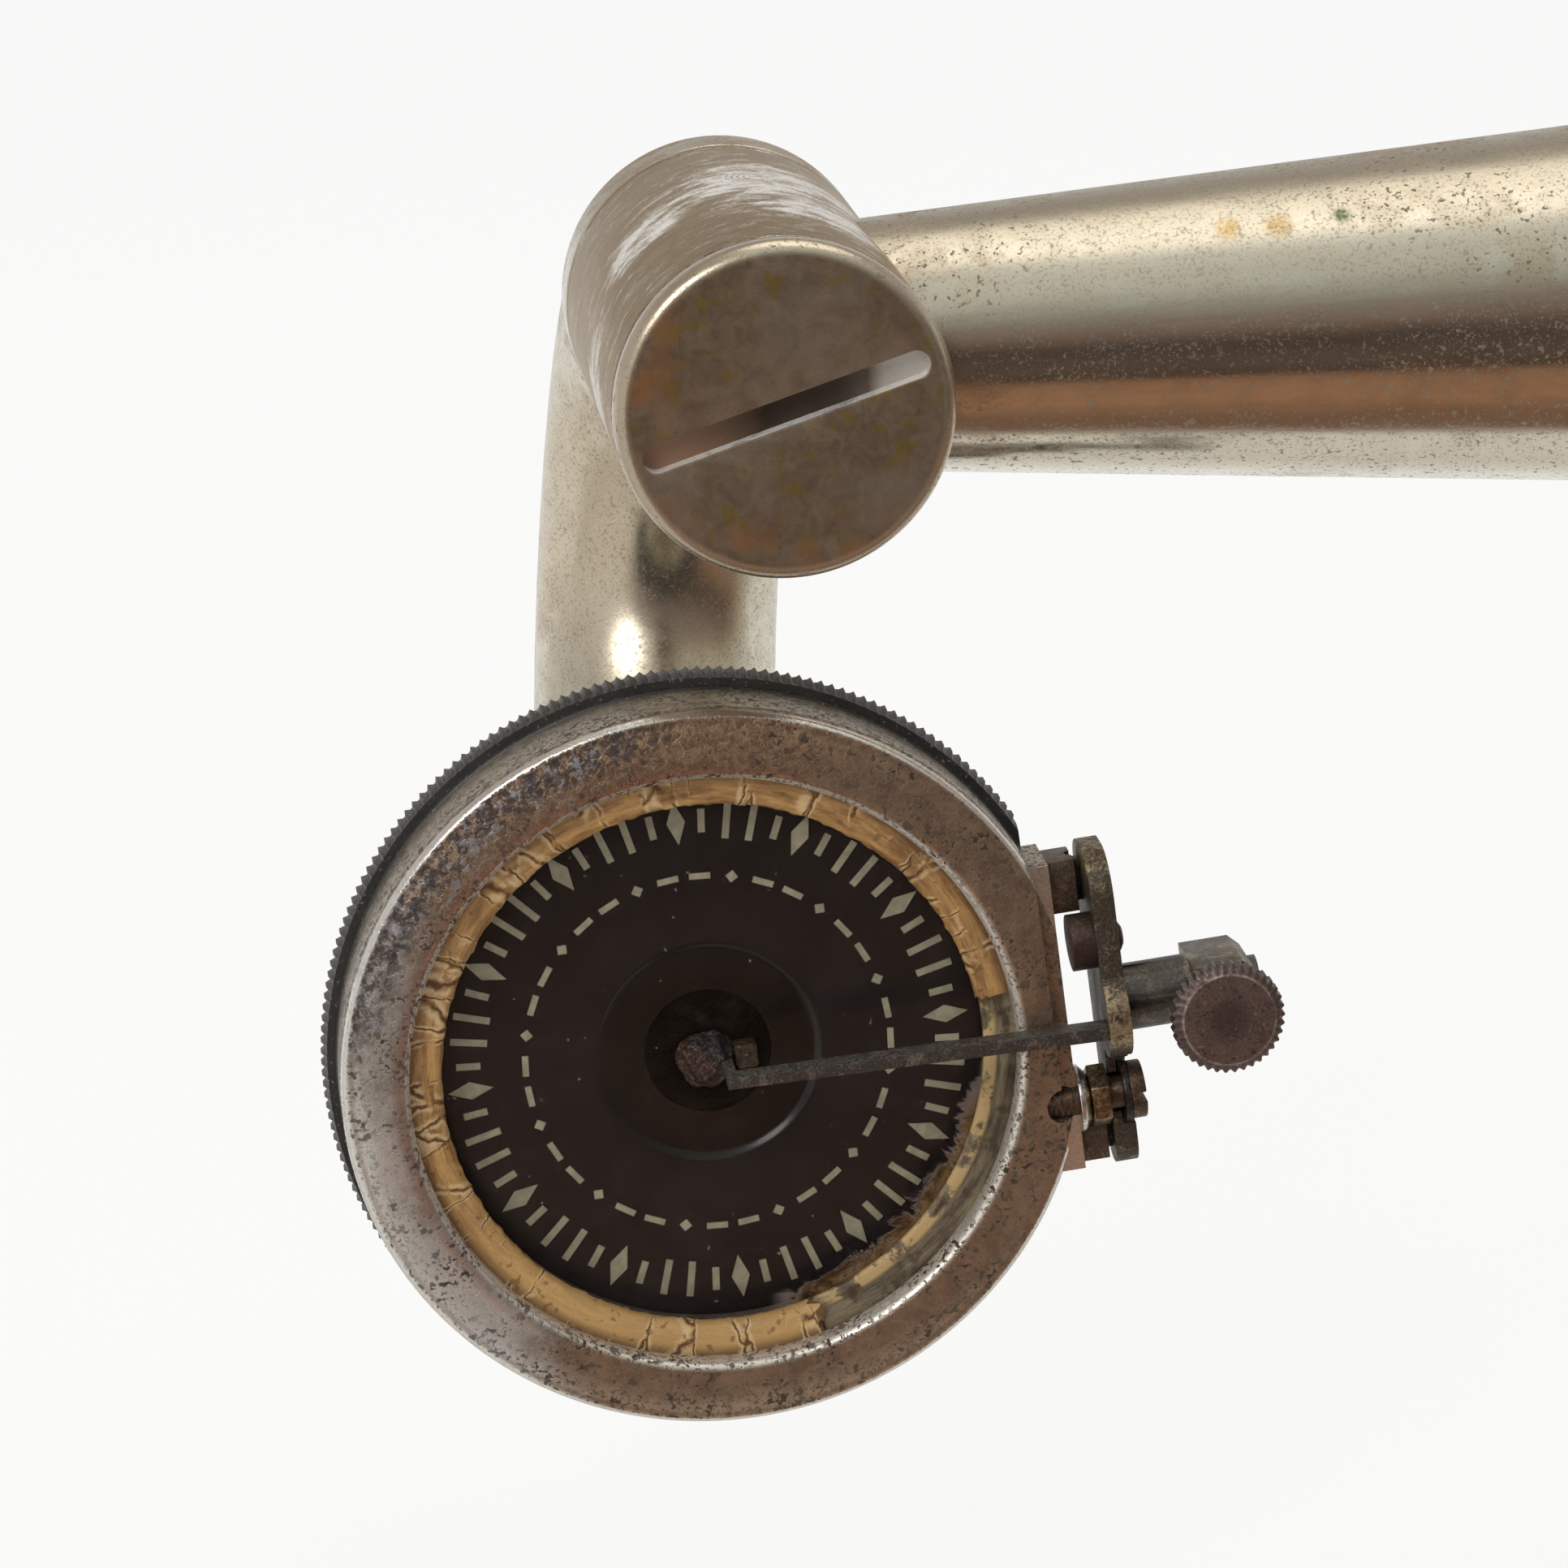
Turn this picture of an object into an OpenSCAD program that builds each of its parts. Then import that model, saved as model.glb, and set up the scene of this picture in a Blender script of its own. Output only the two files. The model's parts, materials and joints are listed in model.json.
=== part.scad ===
// Tone arm of a gramophone with its gooseneck and mica sound box, on the base it swings in.
// Millimetres. +Z is up along the swing axis, and the arm reaches towards -X.
// The origin is the centre of the base's mounting face. The sound box faces -Y.

/* [Tone arm] */
// Swing axis to the axis of the cross tube
arm_reach = 208; // [180:1:240]
// Mounting face to the axis of the arm
arm_height = 98; // [92:1:120]
// Outer radius of the taper tube where it meets the cross tube's axis
arm_small_r = 8; // [7:0.1:8.6]
// Outer radius of the elbow and of the big end of the taper tube
arm_big_r = 20.7; // [18:0.1:23]
// Wall of the taper tube and the elbow
arm_wall = 1.6; // [1.2:0.1:2.2]
// Bend radius of the elbow on its centre line
elbow_r = 36; // [32:1:40]
// Width of the ferrule on the elbow's joint
ferrule_w = 7; // [4:0.5:12]
// How far the ferrule stands proud of the tube
ferrule_proud = 1.2; // [0.8:0.1:2.5]

/* [Cross tube] */
// Outer radius of the cross tube, its cap and the gooseneck's shoulder
cross_r = 11.2; // [10.8:0.1:12.5]
// Half the length of the cross tube
cross_half = 18.6; // [17:0.1:24]
// Wall of the cross tube
cross_wall = 1.55; // [1.2:0.05:2]
// Thickness of the slotted cap's head
cap_t = 1.7; // [1.4:0.1:3]
// Round on the rim of the cap
cap_bevel = 1.1; // [0.5:0.1:1.3]
// Length of the slot in the cap
cap_slot_len = 19.7; // [14:0.1:19.8]
// Width of the slot in the cap
cap_slot_w = 1.9; // [1:0.1:2.5]
// Depth of the slot in the cap
cap_slot_depth = 1.35; // [0.8:0.05:1.4]
// Slope of the slot against the arm
cap_slot_angle = 17; // [0:1:45]
// Thickness of the friction washer behind the cap
washer_t = 0.3; // [0.2:0.05:0.6]
// Radius of the rod that draws the gooseneck into the cross tube
rod_r = 1.7; // [1.2:0.1:2.4]

/* [Gooseneck] */
// Cross tube axis to sound box axis
neck_drop = 50.2; // [46:0.1:58]
// Outer radius of the gooseneck
neck_r = 9.35; // [8.6:0.05:9.8]
// Wall of the gooseneck
neck_wall = 1.3; // [1:0.05:1.8]
// Length of the flare from the seam to the gooseneck's own radius
neck_flare = 9; // [6:0.5:14]
// Straight stretch of the flare next to the seam
flare_straight = 4; // [0:0.1:5]
// Length of the journal that turns in the cross tube
journal_len = 9; // [6:0.5:10]
// Angle at which the gooseneck hangs forward of straight down
neck_hang = 5.6; // [0:0.1:12]
// Radius of the bayonet pin
pin_r = 0.9; // [0.6:0.1:1.2]

/* [Sound box casing] */
// Turn of the needle line against the gooseneck
box_turn = -11.1; // [-20:0.1:0]
// Front ridge of the casing ahead of the arm's axis
box_front = 3.8; // [3:0.1:8]
// Outer radius of the casing
case_r = 26; // [25.6:0.1:30]
// Radius of the front lip
lip_r = 21.24; // [20.2:0.01:21.4]
// How far the front lip stands ahead of the ridge
lip_proud = 0.7; // [0.4:0.1:1.2]
// Depth of the front wall behind the ridge
lip_back = 1; // [0.8:0.1:1.6]
// Width of the bevel on the ridge
ridge_w = 0.8; // [0.4:0.1:1.2]
// Radius of the mica diaphragm
mica_r = 21.83; // [21.6:0.01:22.4]
// Thickness of the mica diaphragm
mica_t = 0.2; // [0.15:0.01:0.4]
// Thickness of each gasket
gasket_t = 1.8; // [1.4:0.1:2.4]
// Inner radius of the gaskets
gasket_r = 19.3; // [18.4:0.1:19.8]
// Thickness of the dial
dial_t = 1.2; // [1:0.1:2]
// Radius of the sound hole in the dial
dial_hole_r = 4.5; // [3:0.1:6]
// Radius of the dished middle of the dial
dial_dish_r = 7; // [6.6:0.1:10]

/* [Sound box back] */
// Radius over the teeth of the knurled flange
flange_r = 27.05; // [26.9:0.05:32]
// Thickness of the knurled flange
flange_t = 3.2; // [2.6:0.1:5]
// Number of teeth on the knurled flange
flange_teeth = 210; // [120:1:240]
// Height of the teeth on the knurled flange
flange_tooth = 0.4; // [0.2:0.05:0.7]
// Length of the collar that holds the sound box on the gooseneck
collar_len = 10; // [8:0.5:14]
// Wall of the collar
collar_wall = 2.6; // [2:0.1:3.4]
// Width of the collar's foot beyond its wall
collar_foot = 3.6; // [3.4:0.1:5]
// Travel of the bayonet slot
twist = 16; // [10:1:30]

/* [Stylus bar] */
// Flat face of the casing's pad from the sound box axis
pad_x = 24.9; // [24.4:0.1:25.6]
// Half the length of the casing's pad
pad_half = 11.2; // [10.8:0.1:13]
// Middle of the pad and the yoke along the pad
yoke_mid = -0.3; // [-1:0.1:1]
// Rocking axis from the sound box axis
pivot_x = 27; // [26.8:0.05:27.4]
// Rocking axis behind the front ridge
pivot_y = 3; // [2.4:0.1:3.6]
// Half the distance between the knife edges
pivot_half = 9.2; // [8.8:0.1:9.6]
// Radius of the knife edges
knife_r = 0.5; // [0.4:0.05:0.7]
// Thickness of the yoke plate
plate_t = 1.6; // [1.4:0.1:1.8]
// Needle line above the sound box axis
needle_z = 0.5; // [0:0.1:1]
// Needle line behind the front ridge
needle_y = 0.5; // [0.2:0.1:1]
// Radius of the needle bore
needle_r = 0.8; // [0.6:0.05:1]
// Radius of the needle tube
tube_r = 2.35; // [1.9:0.1:2.6]
// Length of the needle tube
tube_len = 4.85; // [4:0.05:8]
// Length of the clamp block on the needle tube
block_len = 4.3; // [4:0.1:7]
// Height of the clamp block
block_h = 4.5; // [4:0.1:5.4]
// Depth of the clamp block
block_d = 6.4; // [5.4:0.1:8]
// Radius of the thumb screw over its teeth
thumb_r = 3.95; // [3:0.05:5]
// Thickness of the thumb screw's head
thumb_t = 1.7; // [1.4:0.1:3]
// Number of teeth on the thumb screw
thumb_teeth = 38; // [24:1:60]
// Height of the teeth on the thumb screw
thumb_tooth = 0.25; // [0.15:0.05:0.5]
// Radius of the thumb screw's shank
thumb_shank_r = 1.1; // [0.9:0.05:1.4]
// Radius of the tension screw
tension_r = 1.15; // [0.9:0.05:1.2]
// Tension screw below the sound box axis
tension_z = 6.45; // [6.3:0.05:6.7]
// Stop screw above the sound box axis
stop_z = 5.2; // [4.8:0.1:5.4]
// Depth of the stylus arm
bar_d = 1.8; // [1.2:0.1:2.2]
// Height of the stylus arm at the yoke
bar_h = 0.95; // [0.8:0.05:1.4]
// Height of the stylus arm at its foot
bar_tip_h = 0.75; // [0.6:0.05:1]

/* [Base] */
// Radius of the base's foot
base_r = 46; // [45:0.5:60]
// Thickness of the base's foot
base_t = 5; // [4:0.5:8]
// Height of the base's hub
hub_top = 38; // [34:0.5:40]
// Number of mounting screws
screw_count = 3; // [3:1:6]
// Rim of the foot to the centre of the mounting screws
screw_edge = 6.5; // [6:0.5:7.5]
// Radius of the mounting screw holes
screw_hole_r = 2.2; // [1.6:0.1:2.4]
// Radius of the bearing balls
ball_r = 2; // [1.5:0.1:2.5]
// Number of bearing balls
ball_count = 24; // [16:1:26]
// Wall of the ring nut under the hub
nut_wall = 3.8; // [3.2:0.1:4.4]
// How far the horn's socket stands out past the ring nut
throat_lip = 1.5; // [1.2:0.1:2.2]
// Depth of the socket for the horn's throat
throat_depth = 6; // [4:0.5:8]
// Thickness of the ring nut under the hub
nut_t = 5; // [4:0.5:6]

/* [Hidden] */
$fn = 64;

// Clearances: turning fits, seats within one rigid group, and faces that pass each other
run_gap = 0.05;
seat_gap = 0.02;
pass_gap = 0.3;
// Small overlap that makes cuts and unions clean
eps = 0.01;

// Tone arm
arm_straight = arm_reach - elbow_r;
arm_inner_big_r = arm_big_r - arm_wall;
arm_inner_small_r = arm_small_r - arm_wall;

// Cross tube and gooseneck
cross_bore_r = cross_r - cross_wall;
journal_r = cross_bore_r - run_gap;
seam_gap = 0.1;
neck_inner_r = neck_r - neck_wall;
bend_r = neck_drop / 2;
bend_y = cross_half + neck_flare;
spider_t = 3;
spider_hub_r = rod_r + 1.4;
spoke_w = 1.4;
cap_register = 3;
cap_head_front = -cross_half - washer_t - seam_gap - cap_t;

// Sound box, measured along its axis from the front ridge
case_bore_r = mica_r + seam_gap;
lip_round = 0.5;
ridge_drop = 0.15;
groove_d = 0.12;
groove_w = 0.15;
gasket_outer_r = mica_r - seam_gap;
front_gasket_y = lip_back;
mica_y = front_gasket_y + gasket_t;
rear_gasket_y = mica_y + mica_t;
dial_y = rear_gasket_y + gasket_t;
case_depth = dial_y + dial_t;
flange_y = case_depth;
collar_y = flange_y + flange_t;
flange_bore_r = neck_inner_r;
flange_flat_x = pad_x - 1;
tail_end_y = collar_y + pass_gap;
pin_y = collar_y + collar_len * 0.6;
pin_slot_half = pin_r + 0.25;
pin_root = 0.6;
pin_proud = 0.4;
collar_r = neck_r + run_gap + collar_wall;
collar_foot_t = 1.6;
screw_r = 0.9;
screw_head_r = 1.7;
screw_head_t = 1;
case_screw_circle_r = (case_r + case_bore_r) / 2;
case_screw_len = 3;
collar_screw_circle_r = collar_r + collar_foot / 2;
collar_screw_len = 2;

// Stylus bar, in the sound box's frame
step_x = pad_x - 1.1;
step_y = 0.35;
block_face_x = pivot_x - 0.15;
knife_len = 3;
knife_block_h = 3.8;
knife_block_d = 3.2;
plate_x = pivot_x + 0.3;
plate_out_x = plate_x + plate_t;
plate_end_r = 2.1;
plate_front_y = -2;
shoulder_r = 3.2;
lobe_r = 3.3;
lobe_y = -0.2;
bar_y = -lip_proud - 0.5 - bar_d;
bar_yoke_z = -0.8;
bar_foot_x = 1.35;
toe_x = -0.4;
toe_t = 0.7;
foot_w = 0.8;
foot_nut_r = 1.3;
foot_nut_t = 0.9;
foot_screw_r = 0.5;
mica_hole_r = foot_screw_r + pass_gap;
wax_r = 2.2;
wax_h = 1.9;
wax_x = -0.3;
wax_z = 0.4;
lump_x = 2.4;
lump_w = 1.7;
lump_h = 2;
lump_t = 1.3;
stop_head_r = 2;
stop_shank_r = 1.05;
stop_y = 0;
stop_gap = 0.75;
stop_tip = 0.5;
tension_y = 0.9;
tension_in = 2.6;
cup_r = 2.4;
cup_t = 0.9;
lock_nut_r = 2.3;
lock_nut_t = 1.3;
spring_t = 0.45;
spring_gap = 0.1;
spring_split = 0.4;
tension_head_r = 2.05;
tension_head_t = 1.1;
tension_slot_w = 0.6;
tension_recess = 0.9;
spring_r = tension_head_r + 0.1;
tension_recess_r = spring_r + pass_gap;
tension_seat_x = plate_out_x - tension_recess;
scoop_r = 1.3;
scoop_y = 0;
block_x = plate_out_x + tube_len;
block_out_x = block_x + block_len;
block_chamfer = 0.8;
boss_r = 1.5;
boss_len = 0.5;
thumb_x = block_x + block_len * 0.29;
tube_floor = 1.2;
tip_gap = 0.2;
thumb_bevel = 0.45;
thumb_neck = 3.7;
thumb_back_y = needle_y - block_d / 2 - thumb_neck;
thumb_tip_y = needle_y - needle_r - tip_gap;

// Base
spigot_bottom = throat_depth + 0.5;
nut_bottom = spigot_bottom + 0.3;
nut_recess_top = nut_bottom + nut_t + 0.5;
nut_r = arm_big_r + nut_wall;
nut_room = 0.5;
throat_r = nut_r + throat_lip;
spanner_w = 3;
spanner_d = 2;
ball_wall = 1.6;
hub_wall = 2.2;
ball_circle_r = arm_big_r + ball_wall + ball_r;
hub_r = ball_circle_r + ball_r + hub_wall;
screw_circle_r = base_r - screw_edge;
screw_land = 0.6;
hub_fillet = screw_circle_r - 2 * screw_hole_r - screw_land - hub_r;
ball_gap = 1;
ball_z = hub_top + ball_gap / 2;
groove_r = ball_r + run_gap;
bearing_collar_h = 6;
ring_top = hub_top + ball_gap + bearing_collar_h;
seal_z = hub_top * 0.6;
seal_h = 4;
seal_w = 1.6;

// Points of an arc about a centre, from one angle to another
function arc(cx, cy, r, from, to, steps = 12) =
    [for (i = [0 : steps]) let (a = from + (to - from) * i / steps) [cx + r * cos(a), cy + r * sin(a)]];

// Outline of a knurled rim with pointed teeth
function knurl(r, tooth, count) = [
    for (i = [0 : count - 1], k = [0, 1, 2])
    let (a = (i + [0, 0.42, 0.58][k]) * 360 / count, d = k == 0 ? r - tooth : r)
    [d * cos(a), d * sin(a)]
];

// Turns a shape drawn along Z to lie along X, or along Y
module along_x() { rotate([0, 90, 0]) children(); }
module along_y() { rotate([-90, 0, 0]) children(); }

// A ring turned about Y from a profile of [radius, depth] points
module turned_y(profile) { along_y() rotate_extrude($fn = 128) polygon(profile); }

// Plain tube along Z
module tube(r_out, r_in, h) {
    difference() {
        cylinder(r = r_out, h = h);
        translate([0, 0, -eps]) cylinder(r = r_in, h = h + 2 * eps);
    }
}

// Frames: the cross tube, the hanging gooseneck and the sound box
module at_cross() { translate([-arm_reach, 0, arm_height]) children(); }
module at_neck() { at_cross() rotate([0, neck_hang, 0]) children(); }
module at_box() { at_neck() translate([0, -box_front, -neck_drop]) rotate([0, box_turn, 0]) children(); }

// Cone of the taper tube about its own axis, as long as the straight stretch
module taper_cone(r_small, r_big) {
    at_cross() along_x() cylinder(r1 = r_small, r2 = r_big, h = arm_straight);
}

// Elbow from the arm down to the swing axis
module elbow_solid(r) {
    translate([-elbow_r, 0, arm_height - elbow_r])
        rotate([90, 0, 0]) rotate_extrude(angle = 90, $fn = 128) translate([elbow_r, 0]) circle(r = r);
}

// Ring of shallow ball track
module ball_track() {
    translate([0, 0, ball_z]) rotate_extrude() translate([ball_circle_r, 0]) circle(r = groove_r);
}

// Copies a shape round the Z axis
module around(count) {
    for (i = [0 : count - 1]) rotate([0, 0, i * 360 / count]) children();
}

// Copies a shape round the sound box's axis
module around_box(count, start = 0) {
    for (i = [0 : count - 1]) rotate([0, start + i * 360 / count, 0]) children();
}

// Foot, hub and socket of the base, turned in one piece
module base_flange() {
    edge = 1.6;
    round = 1.4;
    bore_r = arm_big_r + run_gap;
    color([0.72, 0.69, 0.63]) difference() {
        rotate_extrude($fn = 128) polygon(concat(
            [[throat_r, 0], [base_r - edge, 0]],
            arc(base_r - edge, edge, edge, -90, 0),
            arc(base_r - edge, base_t - edge, edge, 0, 90),
            arc(hub_r + hub_fillet, base_t + hub_fillet, hub_fillet, 270, 180),
            arc(hub_r - round, hub_top - round, round, 0, 90),
            [[bore_r, hub_top], [bore_r, seal_z + seal_h], [bore_r + seal_w + pass_gap, seal_z + seal_h],
             [bore_r + seal_w + pass_gap, seal_z], [bore_r, seal_z], [bore_r, nut_recess_top],
             [nut_r + nut_room, nut_recess_top], [nut_r + nut_room, throat_depth], [throat_r, throat_depth]]
        ));
        ball_track();
        around(screw_count) translate([screw_circle_r, 0, 0]) {
            translate([0, 0, -eps]) cylinder(r = screw_hole_r, h = base_t + 2 * eps);
            translate([0, 0, base_t - screw_hole_r * 0.9])
                cylinder(r1 = screw_hole_r, r2 = screw_hole_r * 2, h = screw_hole_r);
        }
    }
}

// Steel balls that carry the arm
module bearing_balls() {
    color([0.8, 0.8, 0.8]) around(ball_count) translate([ball_circle_r, 0, ball_z]) sphere(r = ball_r);
}

// Felt ring that keeps the sound from leaking past the spigot
module felt_seal() {
    color([0.35, 0.3, 0.25])
        translate([0, 0, seal_z + seat_gap])
        tube(arm_big_r + run_gap + seal_w + pass_gap - seat_gap, arm_big_r + pass_gap, seal_h - 2 * seat_gap);
}

// Hollow taper of the arm, saddled on the cross tube
module taper_tube() {
    color([0.74, 0.7, 0.62]) difference() {
        taper_cone(arm_small_r, arm_big_r);
        taper_cone(arm_inner_small_r, arm_inner_big_r);
        at_cross() translate([0, -cross_half, 0]) along_y()
            cylinder(r = cross_r + seat_gap, h = 2 * cross_half);
    }
}

// Elbow with the upright spigot that turns in the base
module rear_elbow() {
    color([0.74, 0.7, 0.62]) difference() {
        union() {
            elbow_solid(arm_big_r);
            translate([0, 0, spigot_bottom])
                cylinder(r = arm_big_r, h = arm_height - elbow_r - spigot_bottom);
        }
        elbow_solid(arm_inner_big_r);
        translate([0, 0, spigot_bottom - eps])
            cylinder(r = arm_inner_big_r, h = arm_height - elbow_r - spigot_bottom + eps);
    }
}

// Band over the joint of the taper and the elbow
module elbow_ferrule() {
    edge = 0.6;
    color([0.76, 0.72, 0.64]) difference() {
        translate([-elbow_r - ferrule_w, 0, arm_height]) along_x() rotate_extrude($fn = 96) polygon(concat(
            [[arm_big_r / 2, 0]],
            arc(arm_big_r + ferrule_proud - edge, edge, edge, -90, 0, 6),
            arc(arm_big_r + ferrule_proud - edge, ferrule_w - edge, edge, 0, 90, 6),
            [[arm_big_r / 2, ferrule_w]]
        ));
        taper_cone(arm_small_r + seat_gap, arm_big_r + seat_gap);
    }
}

// Barrel across the arm's end, with the gooseneck's bearing bored through it
module cross_tube() {
    color([0.74, 0.7, 0.64]) difference() {
        at_cross() translate([0, -cross_half, 0]) along_y()
            cylinder(r = cross_r, h = 2 * cross_half - seam_gap);
        at_cross() translate([0, -cross_half - eps, 0]) along_y()
            cylinder(r = cross_bore_r, h = 2 * cross_half);
        taper_cone(arm_inner_small_r, arm_inner_big_r);
    }
}

// Collar on the spigot that rests on the balls
module bearing_collar() {
    edge = 1;
    round = 2.5;
    color([0.76, 0.72, 0.64]) difference() {
        rotate_extrude($fn = 128) polygon(concat(
            [[arm_big_r + seat_gap, hub_top + ball_gap]],
            arc(hub_r - edge, hub_top + ball_gap + edge, edge, -90, 0, 6),
            arc(hub_r - round, ring_top - round, round, 0, 90, 8),
            [[arm_big_r + seat_gap, ring_top]]
        ));
        ball_track();
    }
}

// Ring nut on the spigot that keeps the arm in the base
module ring_nut() {
    color([0.7, 0.62, 0.42]) difference() {
        translate([0, 0, nut_bottom]) tube(nut_r, arm_big_r + seat_gap, nut_t);
        around(2) translate([arm_big_r + 1, -spanner_w / 2, nut_bottom - eps])
            cube([nut_r, spanner_w, spanner_d]);
    }
}

// Thin washer between the cap and the cross tube
module friction_washer() {
    color([0.72, 0.62, 0.4])
        at_cross() translate([0, -cross_half - washer_t, 0]) along_y()
        tube(cross_r - 0.1, cross_bore_r + pass_gap, washer_t);
}

// Flare from the gooseneck's own radius to the cross tube's
module neck_flare_solid() {
    steps = 8;
    translate([0, cross_half, 0]) along_y() rotate_extrude($fn = 128) polygon(concat(
        [[0, 0], [cross_r, 0]],
        [for (i = [0 : steps]) let (t = i / steps)
            [neck_r + (cross_r - neck_r) * (1 + cos(180 * t)) / 2,
             flare_straight + (neck_flare - flare_straight) * t]],
        [[0, neck_flare]]
    ));
}

// Outside or inside of the gooseneck: straight lead, half-circle bend and tail
module neck_path(r, tail_from) {
    translate([0, cross_half, 0]) along_y() cylinder(r = r, h = neck_flare);
    translate([0, bend_y, -bend_r]) along_x()
        rotate_extrude(angle = 180, $fn = 128) translate([bend_r, 0]) circle(r = r);
    translate([0, tail_from, -neck_drop]) along_y() cylinder(r = r, h = bend_y - tail_from);
}

// Journal, spider, bend and tail of the gooseneck
module gooseneck_tube() {
    tail_front = tail_end_y - box_front;
    journal_front = cross_half - journal_len;
    color([0.74, 0.7, 0.62]) at_neck() {
        difference() {
            union() {
                neck_flare_solid();
                neck_path(neck_r, tail_front);
                translate([0, journal_front, 0]) along_y() cylinder(r = journal_r, h = journal_len);
            }
            neck_path(neck_inner_r, tail_front - eps);
            translate([0, journal_front - eps, 0]) along_y()
                cylinder(r = neck_inner_r, h = journal_len + 2 * eps);
            translate([0, pin_y - box_front, -neck_drop + neck_r - pin_root])
                cylinder(r = pin_r + seat_gap, h = 2);
        }
        difference() {
            translate([0, journal_front, 0]) along_y() union() {
                cylinder(r = spider_hub_r, h = spider_t);
                around(3) translate([0, -spoke_w / 2, 0]) cube([neck_inner_r + 0.2, spoke_w, spider_t]);
            }
            translate([0, journal_front - eps, 0]) along_y()
                cylinder(r = rod_r + seat_gap, h = spider_t + 2 * eps);
        }
    }
}

// Slotted cap with the register and the rod that hold the gooseneck
module cap_screw() {
    rod_end = cross_half - journal_len + spider_t;
    slot_straight = cap_slot_len - cap_slot_w;
    color([0.56, 0.5, 0.43]) at_neck() difference() {
        union() {
            translate([0, cap_head_front, 0]) along_y() rotate_extrude($fn = 128) polygon(concat(
                [[0, 0]],
                arc(cross_r - cap_bevel, cap_bevel, cap_bevel, -90, 0, 8),
                [[cross_r, cap_t], [0, cap_t]]
            ));
            translate([0, cap_head_front + cap_t, 0]) along_y() cylinder(r = journal_r, h = cap_register);
            translate([0, cap_head_front + cap_t, 0]) along_y()
                cylinder(r = rod_r, h = rod_end - cap_head_front - cap_t);
        }
        rotate([0, -cap_slot_angle - neck_hang, 0]) translate([0, cap_head_front - eps, 0]) {
            translate([-slot_straight / 2, 0, -cap_slot_w / 2])
                cube([slot_straight, cap_slot_depth + eps, cap_slot_w]);
            for (side = [-1, 1]) translate([side * slot_straight / 2, 0, 0]) along_y()
                cylinder(r = cap_slot_w / 2, h = cap_slot_depth + eps);
        }
    }
}

// Pin on the gooseneck's tail that locks in the collar's slot
module bayonet_pin() {
    color([0.6, 0.55, 0.48])
        at_neck() translate([0, pin_y - box_front, -neck_drop + neck_r - pin_root])
        cylinder(r = pin_r, h = pin_root + run_gap + collar_wall + pin_proud);
}

// Turned ring of the casing, from the lip round the ridge to the back
module casing_turning() {
    face_x = case_r - ridge_w;
    face_from = lip_r + lip_round;
    turned_y(concat(
        [[case_bore_r, lip_back], [lip_r, lip_back]],
        arc(face_from, -lip_proud + lip_round, lip_round, 180, 270, 6),
        [for (i = [1 : 7]) let (t = i / 8)
            [face_from + (face_x - face_from) * t, -lip_proud + (lip_proud - ridge_drop) * t * t]],
        arc(face_x, ridge_w - ridge_drop, ridge_w, -90, 0, 8),
        [[case_r - groove_d, ridge_w], [case_r - groove_d, ridge_w + groove_w],
         [case_r, ridge_w + 2 * groove_w],
         [case_r, case_depth], [case_bore_r, case_depth]]
    ));
}

// Casing ring with the flat pad that carries the stylus bar
module casing_ring() {
    pad_low = yoke_mid - pad_half;
    color([0.55, 0.47, 0.42]) at_box() difference() {
        union() {
            casing_turning();
            translate([case_bore_r / 2, step_y, pad_low])
                cube([pad_x - case_bore_r / 2, case_depth - step_y, 2 * pad_half]);
        }
        translate([0, lip_back, 0]) along_y() cylinder(r = case_bore_r, h = case_depth);
        translate([0, -lip_proud, 0]) along_y() cylinder(r = lip_r, h = 2 * lip_back + lip_proud);
        translate([pad_x, -2, pad_low]) cube([case_r, case_depth + 4, 2 * pad_half]);
        translate([step_x, -2, pad_low]) cube([case_r, 2 + step_y, 2 * pad_half]);
        translate([step_x, scoop_y, -tension_z]) sphere(r = scoop_r);
        translate([pad_x - tension_in - 0.3, tension_y, -tension_z]) along_x()
            cylinder(r = tension_r + seat_gap, h = tension_in + 1);
        case_screw_places() cylinder(r = screw_r + seat_gap, h = case_screw_len + 0.3);
    }
}

// Places of the three screws in the back of the casing, pointing forward
module case_screw_places() {
    around_box(3, 60) translate([case_screw_circle_r, case_depth + eps, 0]) rotate([90, 0, 0]) children();
}

// Round-edged gasket ring in front of or behind the mica
module gasket_ring(y) {
    half = gasket_t / 2;
    translate([0, y, 0]) turned_y(concat(
        arc(gasket_r + half, half, half, 90, 270, 12),
        [[gasket_outer_r, 0], [gasket_outer_r, gasket_t]]
    ));
}

// Paper-covered gasket in front of the mica
module front_gasket() { color([0.62, 0.44, 0.22]) at_box() gasket_ring(front_gasket_y); }

// Gasket behind the mica
module rear_gasket() { color([0.3, 0.22, 0.15]) at_box() gasket_ring(rear_gasket_y); }

// Mica disc with a clear hole for the stylus arm's screw
module diaphragm() {
    color([0.8, 0.78, 0.7, 0.3])
        at_box() translate([0, mica_y, 0]) along_y() tube(mica_r, mica_hole_r, mica_t);
}

// Dark dial behind the mica, dished towards its sound hole
module dial() {
    color([0.1, 0.07, 0.06]) at_box() turned_y([
        [dial_hole_r, dial_y + dial_t], [dial_hole_r, dial_y + dial_t * 0.55],
        [dial_dish_r - 1.2, dial_y + dial_t * 0.35], [dial_dish_r, dial_y],
        [mica_r, dial_y], [mica_r, dial_y + dial_t]
    ]);
}

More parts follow.
